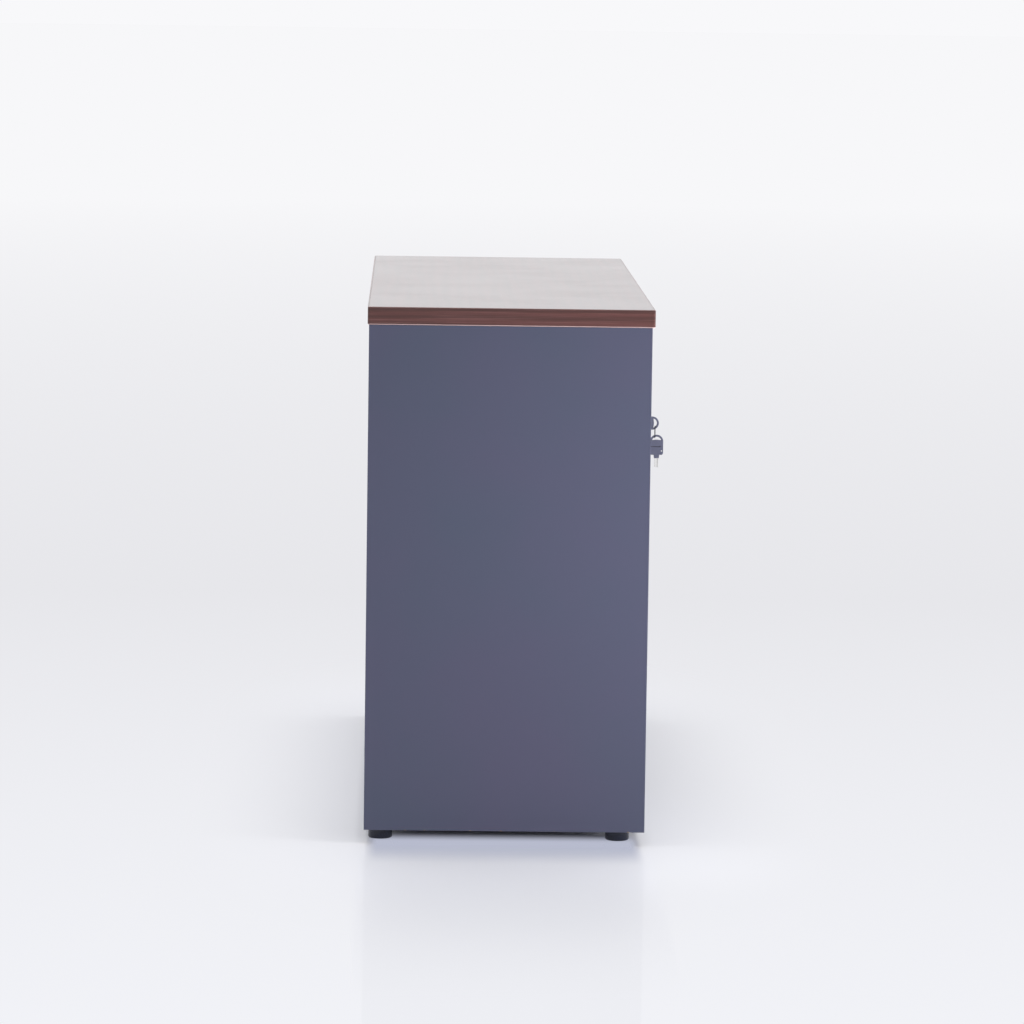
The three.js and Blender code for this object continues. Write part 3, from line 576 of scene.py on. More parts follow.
# %% [markdown]
# ## Dressing the frame's own pieces
# Boards, bands, tracks and the other straight pieces already have their right shape in the
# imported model, so they only change their material. The record says which slot each node
# belongs to, and the slot decides the finish.

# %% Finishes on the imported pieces
slot_finishes = {
    "brown_wood": top_finish,
    "brown_band": band_finish,
    "grey_board": board_finish,
    "grey_edging": edging_finish,
    "steel": steel_finish,
    "aluminium": aluminium_finish,
    "white_nylon": nylon_finish,
    "plated_zinc": nickel_finish,
    "grey_plastic": key_finish,
    "black_plastic": black_finish,
}


def dress(piece, finish):
    piece.data.materials.clear()
    piece.data.materials.append(finish)


node_slots = {part["node"]: part["material_slot"] for part in frame["record"]["subparts"]}
for name, piece in nodes.items():
    dress(piece, slot_finishes[node_slots[name]])
for name in ("left_end_panel", "right_end_panel"):
    dress(nodes[name], end_finish)
print("dressed", len(node_slots), "packed pieces")

# %% [markdown]
# ## Turned pieces
# Feet, pulls, lock and pins are round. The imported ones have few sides, enough for physics but
# not for a close view. A lathe in code makes smooth ones: rows of radius and height, swept round
# an axis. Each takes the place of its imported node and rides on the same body.

# %% A lathe in code
SHARP = math.radians(32)
PLATE_SHARP = math.radians(10)


def as_object(shape, name):
    mesh = bpy.data.meshes.new(name)
    shape.to_mesh(mesh)
    shape.free()
    made = bpy.data.objects.new(name, mesh)
    bpy.context.scene.collection.objects.link(made)
    return made


def keep(name, shape, finish, body, stands_for=(), sharp=SHARP):
    """A finished mesh as a piece of the object: shaded, named, dressed, and riding on its body."""
    bmesh.ops.remove_doubles(shape, verts=shape.verts, dist=1e-7)
    bmesh.ops.recalc_face_normals(shape, faces=shape.faces)
    for edge in shape.edges:
        edge.smooth = len(edge.link_faces) != 2 or edge.calc_face_angle() < sharp
    for face in shape.faces:
        face.smooth = True
    piece = as_object(shape, name)
    dress(piece, finish)
    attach(piece, body)
    if stands_for:
        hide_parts(*stands_for)
    return piece


def turned(rows, sides, closed=False):
    """Rows of radius and height, in metres, swept round Z."""
    shape = bmesh.new()
    rings = []
    for radius, height in rows:
        count = sides if radius > 0 else 1
        turns = [2 * math.pi * step / sides for step in range(count)]
        places = [(radius * math.cos(t), radius * math.sin(t), height) for t in turns]
        rings.append([shape.verts.new(place) for place in places])
    pairs = list(zip(rings, rings[1:])) + ([(rings[-1], rings[0])] if closed else [])
    for low, high in pairs:
        for step in range(sides):
            after = (step + 1) % sides
            ring = [low[step % len(low)], low[after % len(low)]]
            ring += [high[after % len(high)], high[step % len(high)]]
            corners = list(dict.fromkeys(ring))
            if len(corners) > 2:
                shape.faces.new(corners)
    return shape


def rounded(radius, height, round_by, steps=5):
    """Rows of a quarter-round lower corner, from this height out to this radius."""
    rows = []
    for step in range(steps + 1):
        angle = step / steps * math.pi / 2
        inset, rise = 1 - math.sin(angle), 1 - math.cos(angle)
        rows.append((radius - round_by * inset, height + round_by * rise))
    return rows


ALONG_Y = Matrix.Rotation(math.radians(-90), 4, "X")
ALONG_X = Matrix.Rotation(math.radians(90), 4, "Y")


def moved(shape, matrix):
    bmesh.ops.transform(shape, verts=shape.verts, matrix=matrix)
    return shape


def in_mm(rows):
    return [(radius * MM, height * MM) for radius, height in rows]


print("lathe ready")

# %% [markdown]
# The levelling feet are round black pads. In the photograph they stand just inside the panel's
# edges. The lower edge is softened, a mould line runs round the pad, and a ring under it keeps
# the sole off grit. The height of the pad follows from the gap under the end panel.

# %% Levelling feet
ROUND_SIDES = 72
SOLE_RISE, SOLE_RING, LOWER_ROUND = 0.8, 7.0, 3.0
MOULD_LINE, MOULD_LINE_DEPTH = 9.2, 0.25
PAD_GAP, STEM_RADIUS, STEM_CHAMFER = 0.2, 4.0, 1.0


def foot_rows(low, high):
    radius = (high.x - low.x) / 2 / MM
    pad_top = end_panel_low.z / MM - PAD_GAP
    stem_top = high.z / MM
    groove = radius - MOULD_LINE_DEPTH
    sole = [(0, SOLE_RISE), (radius - SOLE_RING - 1, SOLE_RISE), (radius - SOLE_RING, 0)]
    lower = rounded(radius, 0, LOWER_ROUND)
    mould_line = [(radius, MOULD_LINE), (groove, MOULD_LINE + 0.2)]
    mould_line += [(groove, MOULD_LINE + 0.7), (radius, MOULD_LINE + 0.9)]
    shoulder = [(radius, pad_top - 1.2), (radius - 0.4, pad_top - 0.4), (radius - 1.2, pad_top)]
    stem = [(STEM_RADIUS, pad_top), (STEM_RADIUS, stem_top - STEM_CHAMFER)]
    stem += [(STEM_RADIUS - STEM_CHAMFER, stem_top), (0, stem_top)]
    return sole + lower + mould_line + shoulder + stem


for corner in ("front_left", "front_right", "back_left", "back_right"):
    node = "foot_" + corner
    middle = centre(node)
    shape = turned(in_mm(foot_rows(*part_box(node))), ROUND_SIDES)
    moved(shape, Matrix.Translation((middle.x, middle.y, 0)))
    keep("levelling_foot_" + corner, shape, black_finish, node, [node])
print("4 levelling feet")

# %% [markdown]
# Each sliding door has a flush pull near its outer end: a round cup let into the board, with a
# rolled rim. The cup's inner corner is filleted, as a moulding's is, so that fingertips find no
# sharp ring at the bottom.

# %% Flush pulls
PULL_RIM, PULL_CUP, PULL_DEPTH, PULL_LIP = 22.0, 17.5, 9.5, 1.2
PULL_FILLET, PULL_SLEEVE, PULL_BACK = 3.0, 19.0, 11.0


def pull_rows():
    floor = [(0, PULL_DEPTH), (PULL_CUP - PULL_FILLET, PULL_DEPTH)]
    fillet = []
    for turn in (0.4, 0.8, 1.2, 1.57):
        inset, rise = 1 - math.sin(turn), 1 - math.cos(turn)
        fillet.append((PULL_CUP - PULL_FILLET * inset, PULL_DEPTH - PULL_FILLET * rise))
    lip = [(PULL_CUP, 0.2), (PULL_CUP + 0.15, -0.6), (PULL_CUP + 0.6, -PULL_LIP)]
    lip += [(PULL_RIM - 1.0, -PULL_LIP), (PULL_RIM - 0.3, -0.9), (PULL_RIM, -0.3)]
    back = [(PULL_RIM, -0.2), (PULL_SLEEVE, -0.2), (PULL_SLEEVE, PULL_BACK), (0, PULL_BACK)]
    return floor + fillet + lip + back


for door in ("front", "rear"):
    node = door + "_pull"
    middle = centre(node)
    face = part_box(door + "_door")[0].y
    shape = turned(in_mm(pull_rows()), ROUND_SIDES)
    moved(shape, Matrix.Translation((middle.x, face, middle.z)) @ ALONG_Y)
    keep("flush_pull_" + door, shape, black_finish, door + "_door", [node])
print("2 flush pulls")

# %% [markdown]
# The push lock locks the two doors together: a plated barrel through the front door, a plunger
# that is pressed in, and a bolt that enters a bush in the rear door. Barrel and plunger are
# turned here with rounded edges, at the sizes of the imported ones.

# %% Push lock
LOCK_BORE, LOCK_FLANGE, FLANGE_THICK, LOCK_BARREL = 7.8, 12.0, 2.3, 9.5
BOLT_BORE, END_WALL = 4.3, 3.0
PLUNGER_RADIUS, PLUG_BORE, PLUG_GAP, PLUNGER_SHOULDER = 7.5, 5.0, 0.2, 4.5
BOLT_RADIUS, BOLT_CHAMFER = 4.0, 1.0


def barrel_rows(end):
    inner = [(LOCK_BORE, 0.3), (LOCK_BORE + 0.5, 0), (LOCK_FLANGE - 1.4, 0)]
    outer = [(LOCK_FLANGE - 0.6, 0.3), (LOCK_FLANGE - 0.15, 0.9), (LOCK_FLANGE, 1.6)]
    seat = [(LOCK_FLANGE, FLANGE_THICK), (LOCK_BARREL, FLANGE_THICK), (LOCK_BARREL, end)]
    wall = [(BOLT_BORE, end), (BOLT_BORE, end - END_WALL), (LOCK_BORE, end - END_WALL)]
    return inner + outer + seat + wall


def plunger_rows(reach, bore_end):
    shoulder, tip = bore_end + PLUNGER_SHOULDER, BOLT_RADIUS - BOLT_CHAMFER
    bore = [(0, bore_end), (PLUG_BORE, bore_end), (PLUG_BORE, 0.3), (PLUG_BORE + 0.3, 0)]
    nose = [(PLUNGER_RADIUS - 1.2, 0), (PLUNGER_RADIUS - 0.5, 0.25)]
    nose += [(PLUNGER_RADIUS - 0.1, 0.8), (PLUNGER_RADIUS, 1.4)]
    bolt = [(PLUNGER_RADIUS, shoulder), (BOLT_RADIUS, shoulder)]
    bolt += [(BOLT_RADIUS, reach - BOLT_CHAMFER), (tip, reach), (0, reach)]
    return bore + nose + bolt


lock_middle = centre("lock_body")


def lock_place(y):
    return Matrix.Translation((lock_middle.x, y, lock_middle.z)) @ ALONG_Y


lock_low, lock_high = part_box("lock_body")
body_end = (lock_high.y - lock_low.y) / MM
shape = turned(in_mm(barrel_rows(body_end)), ROUND_SIDES, closed=True)
moved(shape, lock_place(lock_low.y))
keep("lock_barrel", shape, nickel_finish, "front_door", ["lock_body"])

plunger_low, plunger_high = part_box("lock_plunger")
reach = (plunger_high.y - plunger_low.y) / MM
bore_end = (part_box("lock_plug")[1].y - plunger_low.y) / MM + PLUG_GAP
shape = turned(in_mm(plunger_rows(reach, bore_end)), ROUND_SIDES)
moved(shape, lock_place(plunger_low.y))
keep("lock_push_plunger", shape, nickel_finish, "lock_plunger", ["lock_plunger"])
print("lock at height", round(lock_middle.z, 3))

# %% [markdown]
# Small steel pins carry the shelves, pushed into bored holes with a collar against the wall, and
# the rollers under the doors run on grooved nylon wheels. Both are turned at their packed sizes,
# with the sharp edges of a lathe or mould eased.

# %% Shelf pins and roller wheels
SMALL_SIDES = 40
PIN_RADIUS, PIN_HALF, COLLAR_RADIUS = 2.4, 7.0, 3.8
AXLE_RADIUS, AXLE_HALF = 2.0, 5.0
WHEEL_RADIUS, WHEEL_HALF, WHEEL_DISH, RUN_RADIUS = 9.0, 3.1, 0.5, 7.0
HALF_TURN = Matrix.Rotation(math.pi, 4, "X")


def pin_rows():
    ease, end = PIN_RADIUS - 0.5, PIN_HALF - 0.6
    shank = [(0, -PIN_HALF), (ease, -PIN_HALF), (PIN_RADIUS, -end), (PIN_RADIUS, 0.2)]
    collar = [(COLLAR_RADIUS - 0.3, 0.2), (COLLAR_RADIUS, 0.45)]
    collar += [(COLLAR_RADIUS, 0.95), (COLLAR_RADIUS - 0.3, 1.2)]
    return shank + collar + [(PIN_RADIUS, 1.2), (PIN_RADIUS, end), (ease, PIN_HALF), (0, PIN_HALF)]


def wheel_rows():
    axle = [(0, -AXLE_HALF), (AXLE_RADIUS - 0.3, -AXLE_HALF), (AXLE_RADIUS, 0.3 - AXLE_HALF)]
    hub = [(AXLE_RADIUS, -WHEEL_HALF), (4.0, -WHEEL_HALF)]
    dish = [(4.4, WHEEL_DISH - WHEEL_HALF), (6.0, WHEEL_DISH - WHEEL_HALF), (6.4, -WHEEL_HALF)]
    flange = [(WHEEL_RADIUS - 0.3, -WHEEL_HALF), (WHEEL_RADIUS, 0.3 - WHEEL_HALF)]
    half = axle + hub + dish + flange + [(WHEEL_RADIUS, -2.2), (RUN_RADIUS, -1.7)]
    return half + [(radius, -height) for radius, height in reversed(half)]


for name in sorted(nodes):
    if "shelf_pin" in name:
        shape = turned(in_mm(pin_rows()), SMALL_SIDES)
        wall_on_right = centre(name).x > centre(name.split("_pin")[0]).x
        turn = ALONG_X @ HALF_TURN if wall_on_right else ALONG_X
        moved(shape, Matrix.Translation(centre(name)) @ turn)
        keep("turned_" + name, shape, steel_finish, "carcass", [name])
    elif "roller_wheel" in name:
        shape = turned(in_mm(wheel_rows()), SMALL_SIDES)
        moved(shape, Matrix.Translation(centre(name)) @ ALONG_Y)
        keep("turned_" + name, shape, nylon_finish, name, [name])
print("8 shelf pins and 4 wheels")

# %% [markdown]
# ## Keys and link
# The heads and blades of the keys are flat plates with holes, grooves and rounded edges. A filled
# 2D curve makes such a plate with its holes in one go, and a Boolean takes the cuts out of it.
# Both leave a scratch object behind, whose final mesh is taken before it is removed.

# %% Flat plates and cuts
BEVEL_STEPS = 3
WELD = 1e-6


def applied(holder):
    """The final mesh of a scratch object as a bmesh; the scratch object is removed."""
    bpy.context.view_layer.update()
    final = holder.evaluated_get(bpy.context.evaluated_depsgraph_get())
    mesh = bpy.data.meshes.new_from_object(final)
    bpy.data.objects.remove(holder)
    shape = bmesh.new()
    shape.from_mesh(mesh)
    bpy.data.meshes.remove(mesh)
    bmesh.ops.remove_doubles(shape, verts=shape.verts, dist=WELD)
    return shape


def plate(outlines, thick, edge):
    """A flat plate with holes and rounded edges, as a mesh round the middle of its thickness."""
    curve = bpy.data.curves.new("plate", "CURVE")
    curve.dimensions = "2D"
    curve.fill_mode = "BOTH"
    curve.extrude = (thick / 2 - edge) * MM
    curve.bevel_depth = edge * MM
    curve.bevel_resolution = BEVEL_STEPS
    curve.offset = -edge * MM
    for outline in outlines:
        line = curve.splines.new("POLY")
        line.points.add(len(outline) - 1)
        line.use_cyclic_u = True
        for point, (x, y) in zip(line.points, outline):
            point.co = (x * MM, y * MM, 0, 1)
    holder = bpy.data.objects.new("plate", curve)
    bpy.context.scene.collection.objects.link(holder)
    return applied(holder)


def block(low, high):
    shape = bmesh.new()
    bmesh.ops.create_cube(shape, size=1)
    low, high = Vector(low) * MM, Vector(high) * MM
    bmesh.ops.scale(shape, verts=shape.verts, vec=high - low)
    bmesh.ops.translate(shape, verts=shape.verts, vec=(low + high) / 2)
    return shape


def cut(shape, tools):
    bmesh.ops.recalc_face_normals(shape, faces=shape.faces)
    body = as_object(shape, "cut_body")
    holders = [as_object(tool, "cut_tool") for tool in tools]
    for holder in holders:
        bite = body.modifiers.new("bite", "BOOLEAN")
        bite.operation, bite.object, bite.solver = "DIFFERENCE", holder, "EXACT"
    result = applied(body)
    for holder in holders:
        bpy.data.objects.remove(holder)
    return result


print("plates and cuts ready")

# %% [markdown]
# The photograph's liveliest spot: a key stands out of the lock and a wire link through its head
# carries the spare. The head is a flat grey moulding with a crescent window under its arch, a
# groove, a small hole and a short neck that holds the blade. Its outline is drawn from arcs, and
# one head is made for each key and turned to its place.

# %% Key heads
HEAD_WIDTH, HEAD_HEIGHT, HEAD_THICK, HEAD_BAR = 20.0, 30.6, 2.4, 3.0
HEAD_EDGE, HEAD_CORNER, HEAD_WINDOW, SILL_RISE, SILL_STEPS = 0.5, 3.0, 5.4, 0.9, 12
NECK_WIDTH, NECK_END_WIDTH, NECK_LENGTH = 8.6, 7.4, 5.0
HOLE_ACROSS, HOLE_RISE, HOLE_RADIUS = 7.7, 6.0, 1.0
GROOVE_RISE, GROOVE_WIDTH, GROOVE_DEPTH, GROOVE_END = 11.9, 1.4, 0.95, 6.2
POCKET_HALF, POCKET_HALF_THICK, POCKET_DEPTH = 2.5, 0.7, 8.2


def arc(x, y, radius, start, end, steps):
    turns = [math.radians(start + (end - start) * step / steps) for step in range(steps + 1)]
    return [(x + radius * math.cos(t), y + radius * math.sin(t)) for t in turns]


def head_outline(half, arch, low):
    across, up, neck_end = half - HEAD_CORNER, low + HEAD_CORNER, low - NECK_LENGTH
    outline = arc(across, up, HEAD_CORNER, -90, 0, 8) + arc(0, arch, half, 0, 180, 40)
    outline += arc(-across, up, HEAD_CORNER, 180, 270, 8)
    outline += [(-NECK_WIDTH / 2, low), (-NECK_END_WIDTH / 2, neck_end)]
    return outline + [(NECK_END_WIDTH / 2, neck_end), (NECK_WIDTH / 2, low)]


def head_window(half, arch):
    inner = half - HEAD_BAR
    sill = inner - HEAD_WINDOW
    corner_angle = math.degrees(math.asin(sill / inner))
    window = arc(0, arch, inner, corner_angle, 180 - corner_angle, 32)
    reach = math.sqrt(inner**2 - sill**2)
    for step in range(1, SILL_STEPS):
        across = 2 * step / SILL_STEPS - 1
        window.append((across * reach, arch + sill + SILL_RISE * (1 - across**2)))
    return window


def key_head():
    half, top = HEAD_WIDTH / 2, HEAD_BAR / 2
    low, arch, face = top - HEAD_HEIGHT, top - half, HEAD_THICK / 2
    hole = arc(HOLE_ACROSS, low + HOLE_RISE, HOLE_RADIUS, 0, 337.5, 15)
    outlines = [head_outline(half, arch, low), head_window(half, arch), hole]
    groove = low + GROOVE_RISE
    tools = []
    for side in (-1, 1):
        start = (-HEAD_WIDTH, groove, side * face - GROOVE_DEPTH)
        tools.append(block(start, (GROOVE_END, groove + GROOVE_WIDTH, side * face + GROOVE_DEPTH)))
    pocket_start = (-POCKET_HALF, low - NECK_LENGTH - 1, -POCKET_HALF_THICK)
    tools.append(block(pocket_start, (POCKET_HALF, low + POCKET_DEPTH, POCKET_HALF_THICK)))
    return cut(plate(outlines, HEAD_THICK, HEAD_EDGE), tools)


def out_of_lock():
    low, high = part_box("key_head")
    axes = Matrix(((0, 0, 1), (0, -1, 0), (1, 0, 0))).to_4x4()
    return Matrix.Translation((0, low.y + HEAD_BAR / 2 * MM, (low.z + high.z) / 2)) @ axes


def hanging_down():
    low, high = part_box("spare_key_head")
    axes = Matrix(((0, 0, -1), (-1, 0, 0), (0, 1, 0))).to_4x4()
    return Matrix.Translation((0, (low.y + high.y) / 2, high.z - HEAD_BAR / 2 * MM)) @ axes


key_places = {"key": out_of_lock(), "spare_key": hanging_down()}
for body, where in key_places.items():
    shape = moved(key_head(), where)
    keep(body + "_grip", shape, key_finish, body, [body + "_head"], PLATE_SHARP)
print("2 key heads")

# %% [markdown]
# A key's blade is stamped from strip and plated: a flat bar with the bitting cut into one edge
# and a V-shaped groove milled along each side. Bright metal mirrors the pale room so well that
# the photograph shows little more than the groove, whose far side mirrors the dark door.

# %% Key blades
BLADE_WIDTH, BLADE_THICK, BLADE_LENGTH, BLADE_EDGE = 6.4, 1.5, 13.8, 0.12
TIP_CHAMFER, NECK_GAP = 1.2, 0.1
BIT_PITCH, BIT_DEPTH, BIT_COUNT = 2.2, 0.9, 4
MILLED_PLACE, MILLED_HALF, MILLED_END = 1.4, 0.35, 0.4
TANG_HALF, TANG_HALF_THICK, TANG_DEPTH, TANG_LAP = 2.3, 0.5, 8.0, 0.5


def blade_outline(end):
    half, tip = BLADE_WIDTH / 2, end - BLADE_LENGTH
    outline = [(half - TIP_CHAMFER, tip), (TIP_CHAMFER - half, tip), (-half, tip + TIP_CHAMFER)]
    outline += [(-half, end), (half, end)]
    for bit in range(BIT_COUNT, 0, -1):
        at = tip + BIT_PITCH * bit
        outline += [(half, at + BIT_DEPTH), (half - BIT_DEPTH, at), (half, at - BIT_DEPTH)]
    return outline[::-1]


def milled_groove(side, low, high):
    """A square bar turned on its corner, to cut a V along one side of the blade."""
    bar = block((-MILLED_HALF, low, -MILLED_HALF), (MILLED_HALF, high, MILLED_HALF))
    turn = Matrix.Rotation(math.radians(45), 4, "Y")
    return moved(bar, Matrix.Translation((MILLED_PLACE * MM, 0, side * BLADE_THICK / 2 * MM)) @ turn)


def key_blade():
    low = HEAD_BAR / 2 - HEAD_HEIGHT
    end = low - NECK_LENGTH - NECK_GAP
    past_tip = end - BLADE_LENGTH - 1
    grooves = [milled_groove(side, past_tip, end - MILLED_END) for side in (-1, 1)]
    strip = cut(plate([blade_outline(end)], BLADE_THICK, BLADE_EDGE), grooves)
    tang_start = (-TANG_HALF, end - TANG_LAP, -TANG_HALF_THICK)
    tang = block(tang_start, (TANG_HALF, low + TANG_DEPTH, TANG_HALF_THICK))
    whole = bmesh.new()
    for part in (strip, tang):
        mesh = bpy.data.meshes.new("part")
        part.to_mesh(mesh)
        part.free()
        whole.from_mesh(mesh)
        bpy.data.meshes.remove(mesh)
    return whole


for body, where in key_places.items():
    shape = moved(key_blade(), where)
    keep(body + "_stamping", shape, blade_finish, body, [body + "_blade"], PLATE_SHARP)
print("2 key blades")

# %% [markdown]
# The link is a plain oval of spring wire, closed end to end. It is a round section swept along
# a path, with the section's axes taken from the loop's own plane, so that it never twists. Its
# half circles come from one loop: the sign of the sine says which half a point belongs to.

# %% Oval link
LINK_WIRE = 0.6 * MM
LINK_STEPS, LINK_SIDES = 64, 16


def swept(path, radius, sides):
    """A closed wire: path rows of point, outward axis and sideways axis."""
    shape = bmesh.new()
    turns = [2 * math.pi * step / sides for step in range(sides)]
    rings = []
    for point, outward, sideways in path:
        places = [point + (outward * math.cos(t) + sideways * math.sin(t)) * radius for t in turns]
        rings.append([shape.verts.new(place) for place in places])
    for index, low in enumerate(rings):
        high = rings[(index + 1) % len(rings)]
        for step in range(sides):
            after = (step + 1) % sides
            shape.faces.new((low[step], low[after], high[after], high[step]))
    return shape


def oval_link_path():
    low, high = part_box("key_link")
    radius = (high.x - low.x) / 2 - LINK_WIRE
    straight = (high.z - low.z) / 2 - LINK_WIRE - radius
    rows = []
    for step in range(LINK_STEPS):
        angle = 2 * math.pi * (step + 0.5) / LINK_STEPS
        outward = Vector((math.cos(angle), 0, math.sin(angle)))
        lift = Vector((0, 0, math.copysign(straight, math.sin(angle))))
        point = centre("key_link") + outward * radius + lift
        rows.append((point, outward, Vector((0, 1, 0))))
    return rows


shape = swept(oval_link_path(), LINK_WIRE, LINK_SIDES)
keep("oval_link", shape, spring_finish, "key_link", ["key_link"])
print("oval link")

# %% [markdown]
# ## Fixings
# The tracks are screwed to the bottom and to the underside of the top. A screw head is a small
# turned dome with a cross cut into it by a Boolean, sunk into the track's web. They are only
# seen with the doors open, but a track without them would float.

# %% Track screws
SCREW_COUNT, SCREW_SIDES = 6, 32
SCREW_DOME = [(0, -0.6), (2.6, -0.6), (2.9, -0.2), (2.7, 0.35), (1.8, 0.75), (0, 0.9)]
CROSS_LONG, CROSS_WIDE, CROSS_FLOOR, CROSS_TOP = 1.6, 0.33, 0.2, 2.0
TRACK_WEB, SCREW_INSET, SCREW_TURN = 1.5 * MM, 60 * MM, 0.4


def screw_head():
    head = turned(in_mm(SCREW_DOME), SCREW_SIDES)
    for x, y in ((CROSS_LONG, CROSS_WIDE), (CROSS_WIDE, CROSS_LONG)):
        head = cut(head, [block((-x, -y, CROSS_FLOOR), (x, y, CROSS_TOP))])
    return head


def track_screws(node, facing):
    low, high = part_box(node)
    z = low.z + TRACK_WEB if facing > 0 else high.z - TRACK_WEB
    flip = Matrix.Rotation(0 if facing > 0 else math.pi, 4, "X")
    run = high.x - low.x - 2 * SCREW_INSET
    for index in range(SCREW_COUNT):
        x = low.x + SCREW_INSET + run * index / (SCREW_COUNT - 1)
        turn = flip @ Matrix.Rotation(SCREW_TURN * index, 4, "Z")
        shape = moved(screw_head(), Matrix.Translation((x, centre(node).y, z)) @ turn)
        keep(f"{node}_screw_{index + 1}", shape, steel_finish, "carcass")


track_screws("bottom_track", 1)
track_screws("top_track", -1)
print("12 track screws")

# %% [markdown]
# ## The studio
# The photograph has a pale floor that runs into a white background, with a faint mirror image of
# the cabinet's end. A curved backdrop would stand in the way of views from behind. So the floor
# is flat and wide, lit and shadowed near the cabinet, and fades into a plain pale tone that the
# world has too; behind the cabinet that tone is a little darker, a painted shade. Light Path keeps
# that tone to what the camera and reflections see, so it adds no light to the cabinet.

# %% World and what the camera sees
PALE_FRONT = srgb(243, 244, 249)
# painted shade: the pale tone behind the cabinet is darker, standing in for its shadow on the floor
PALE_BEHIND_PAINTED_SHADE = srgb(231, 231, 235)
PALE_FAR = srgb(248, 248, 250)
FILL_WHITE = srgb(255, 255, 255)
WORLD_FILL = 0.25


def seen_rays(tree):
    rays = tree.nodes.new("ShaderNodeLightPath").outputs
    shiny = calc(tree, "MAXIMUM", rays["Is Glossy Ray"], rays["Is Transmission Ray"])
    return calc(tree, "MAXIMUM", rays["Is Camera Ray"], shiny)


def pale_world():
    world = bpy.data.worlds.new("pale_studio")
    world.use_nodes = True
    tree = world.node_tree
    background = tree.nodes["Background"]
    seen = seen_rays(tree)
    tree.links.new(tint(tree, seen, FILL_WHITE, PALE_FAR), background.inputs["Color"])
    tree.links.new(spread(tree, seen, 0.0, 1.0, WORLD_FILL, 1.0), background.inputs["Strength"])
    return world


bpy.context.scene.world = pale_world()
print("world", bpy.context.scene.world.name)

# %% [markdown]
# Under the cabinet the photograph's shadow is soft in an odd way: at the left end a blue-grey
# light reaches a hand's width in behind the panel, and only then comes the dark line. No lamp
# does that without flooding the panel. So that tone is painted into the floor's finish as a band
# of painted shadow and light, at that end alone. It goes by the distance from the panel, and the
# fade to plain paper goes by the distance from the cabinet's outline, so both are worked out first.

# %% Distances on the floor
BAND_RISE = (-0.16, 0.0)
BAND_FALL = (0.098, 0.026)
BAND_SIDE = 0.02
FADE_START, FADE_END = 0.1, 1.1
SIDE_FADE, SIDE_LIFT, SIDE_EASE = 2.6, 0.38, 0.015


def eased(tree, value, low, high):
    limits = {"Value": value, "From Min": low, "From Max": high}
    return put(tree, "MapRange", limits, interpolation_type="SMOOTHSTEP").outputs["Result"]


def outline_depths(tree, spot):
    """How far a point of the floor lies inside the cabinet's ends and sides, negative outside."""
    half = (end_panel_high.y - end_panel_low.y) / 2
    middle = centre("left_end_panel").y
    sideways = calc(tree, "ABSOLUTE", calc(tree, "SUBTRACT", spot["Y"], middle))
    from_end = calc(tree, "SUBTRACT", -end_panel_low.x, calc(tree, "ABSOLUTE", spot["X"]))
    return from_end, calc(tree, "SUBTRACT", half, sideways)


def painted_under_band(tree, spot, from_side):
    """How much painted blue-grey shadow tone a point gets, by its depth behind the left end panel."""
    depth = calc(tree, "SUBTRACT", spot["X"], end_panel_low.x)
    band = calc(tree, "MULTIPLY", eased(tree, depth, *BAND_RISE), eased(tree, depth, *BAND_FALL))
    return calc(tree, "MULTIPLY", band, eased(tree, from_side, 0.0, BAND_SIDE))


def way_off(tree, from_end, from_side):
    """Distance from the cabinet's outline, zero under it, counted more to the sides."""
    past_end = calc(tree, "MINIMUM", from_end, 0.0)
    past_side = calc(tree, "MULTIPLY", calc(tree, "MINIMUM", from_side, 0.0), SIDE_FADE)
    gap = put(tree, "CombineXYZ", {0: past_end, 1: past_side}).outputs[0]
    distance = put(tree, "VectorMath", {0: gap}, operation="LENGTH").outputs["Value"]
    beside = eased(tree, from_side, 0.0, -SIDE_EASE)
    return calc(tree, "ADD", distance, calc(tree, "MULTIPLY", beside, SIDE_LIFT))


print("floor fades from", FADE_START, "to", FADE_END, "m off the cabinet")

# %% [markdown]
# The floor's finish mixes three things. Near the cabinet it is a lit surface that takes the
# shadow. Further off it is a plain tone that the camera sees as written, painted a little darker
# behind the cabinet as shade, and in the band it is a painted shadow tone. Over both lies a faint
# polish, which mirrors the panel as the photograph's floor does.

# %% Pale floor
FLOOR_WHITE = srgb(238, 239, 245)
# the colour of the painted shadow band under the left end
PAINTED_UNDER_SHADOW = srgb(187, 191, 209)
FLOOR_MIRROR, MIRROR_ROUGHNESS = 0.045, 0.05
TONE_REACH = 2.2
FAR_AWAY = 18.0
FLOOR_HALF, FLOOR_DROP = 80.0, 0.1 * MM


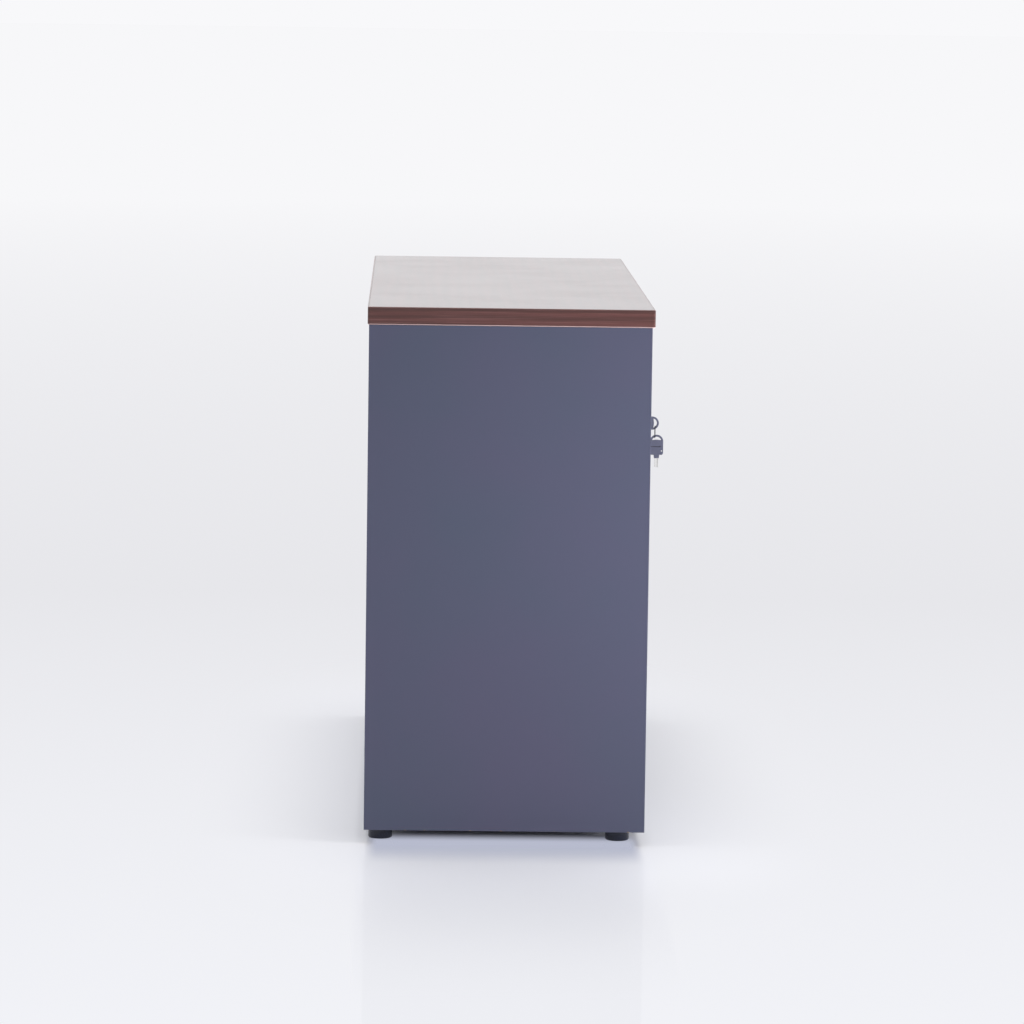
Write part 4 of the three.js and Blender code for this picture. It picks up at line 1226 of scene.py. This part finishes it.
def pale_floor_finish():
    material, tree, surface, place = start_finish("pale_floor", IOR=1.45, Roughness=0.45)
    surface.inputs["Base Color"].default_value = FLOOR_WHITE
    spot = put(tree, "SeparateXYZ", {0: place["Object"]}).outputs
    away = put(tree, "VectorMath", {0: place["Object"]}, operation="LENGTH").outputs["Value"]
    from_end, from_side = outline_depths(tree, spot)
    fade = eased(tree, way_off(tree, from_end, from_side), FADE_START, FADE_END)
    # painted shade: the pale tone darkens from the front to behind the cabinet
    near = tint(tree, spread(tree, spot["X"], -TONE_REACH, TONE_REACH), PALE_FRONT, PALE_BEHIND_PAINTED_SHADE)
    pale = tint(tree, spread(tree, away, TONE_REACH, FAR_AWAY), near, PALE_FAR)
    # painted shadow: a glowing blue-grey band under the left end stands in for its shade
    under = painted_under_band(tree, spot, from_side)
    tone = tint(tree, calc(tree, "GREATER_THAN", under, 0.0), pale, PAINTED_UNDER_SHADOW)
    glow = put(tree, "Emission", {"Color": tone, "Strength": 1.0}).outputs[0]
    share = calc(tree, "MULTIPLY", calc(tree, "MAXIMUM", fade, under), seen_rays(tree))
    mixed = put(tree, "MixShader", {0: share, 1: surface.outputs[0], 2: glow}).outputs[0]
    mirror = put(tree, "BsdfAnisotropic", {"Roughness": MIRROR_ROUGHNESS}).outputs[0]
    polished = put(tree, "MixShader", {0: FLOOR_MIRROR, 1: mixed, 2: mirror}).outputs[0]
    tree.links.new(polished, tree.nodes["Material Output"].inputs["Surface"])
    return material


def floor_sheet():
    shape = bmesh.new()
    bmesh.ops.create_grid(shape, x_segments=8, y_segments=8, size=FLOOR_HALF)
    sheet = as_object(shape, "pale_floor")
    sheet.location.z = -FLOOR_DROP
    dress(sheet, pale_floor_finish())


floor_sheet()
print("pale floor", 2 * FLOOR_HALF, "m wide")

# %% [markdown]
# The light is soft and comes mostly from overhead. The end panel is brighter towards the front: a
# narrow box near that edge does this, with a wide one on the camera's side. Two more light the
# doors and the back, which the photograph doesn't show. From some sides the polished top and the
# floor would mirror those four as hard white patches, so they only light and aren't mirrored. All
# are at a plain level, at which a colour renders about as it is written.

# %% Soft boxes
def soft_box(name, place, target, size, watts, cone=180, mirrored=False):
    wide, tall = size
    lamp = bpy.data.lights.new(name, "AREA")
    lamp.shape = "RECTANGLE"
    lamp.size = wide
    lamp.size_y = tall
    lamp.energy = watts
    lamp.spread = math.radians(cone)
    box = bpy.data.objects.new(name, lamp)
    bpy.context.scene.collection.objects.link(box)
    box.location = place
    box.rotation_euler = (Vector(target) - Vector(place)).to_track_quat("-Z", "Y").to_euler()
    box.visible_camera = False
    box.visible_glossy = mirrored


soft_box("camera_side", (-4.2, -2.2, 0.6), (-0.6, -0.1, 0.35), (1.2, 1.2), 49.0)
soft_box("front_edge", (-0.95, -0.95, 0.55), (-0.6, -0.1, 0.51), (0.35, 0.9), 3.1, 70)
soft_box("door_light", (0.3, -3.4, 2.1), (0.0, -0.2, 0.3), (2.4, 2.4), 34.0)
soft_box("back_light", (-0.2, 3.4, 2.1), (-0.1, 0.2, 0.3), (2.4, 2.4), 48.0)
soft_box("overhead", (0.3, 0.2, 3.2), (0.3, 0.2, 0.0), (3.4, 3.4), 80.0, mirrored=True)
print("5 soft boxes")
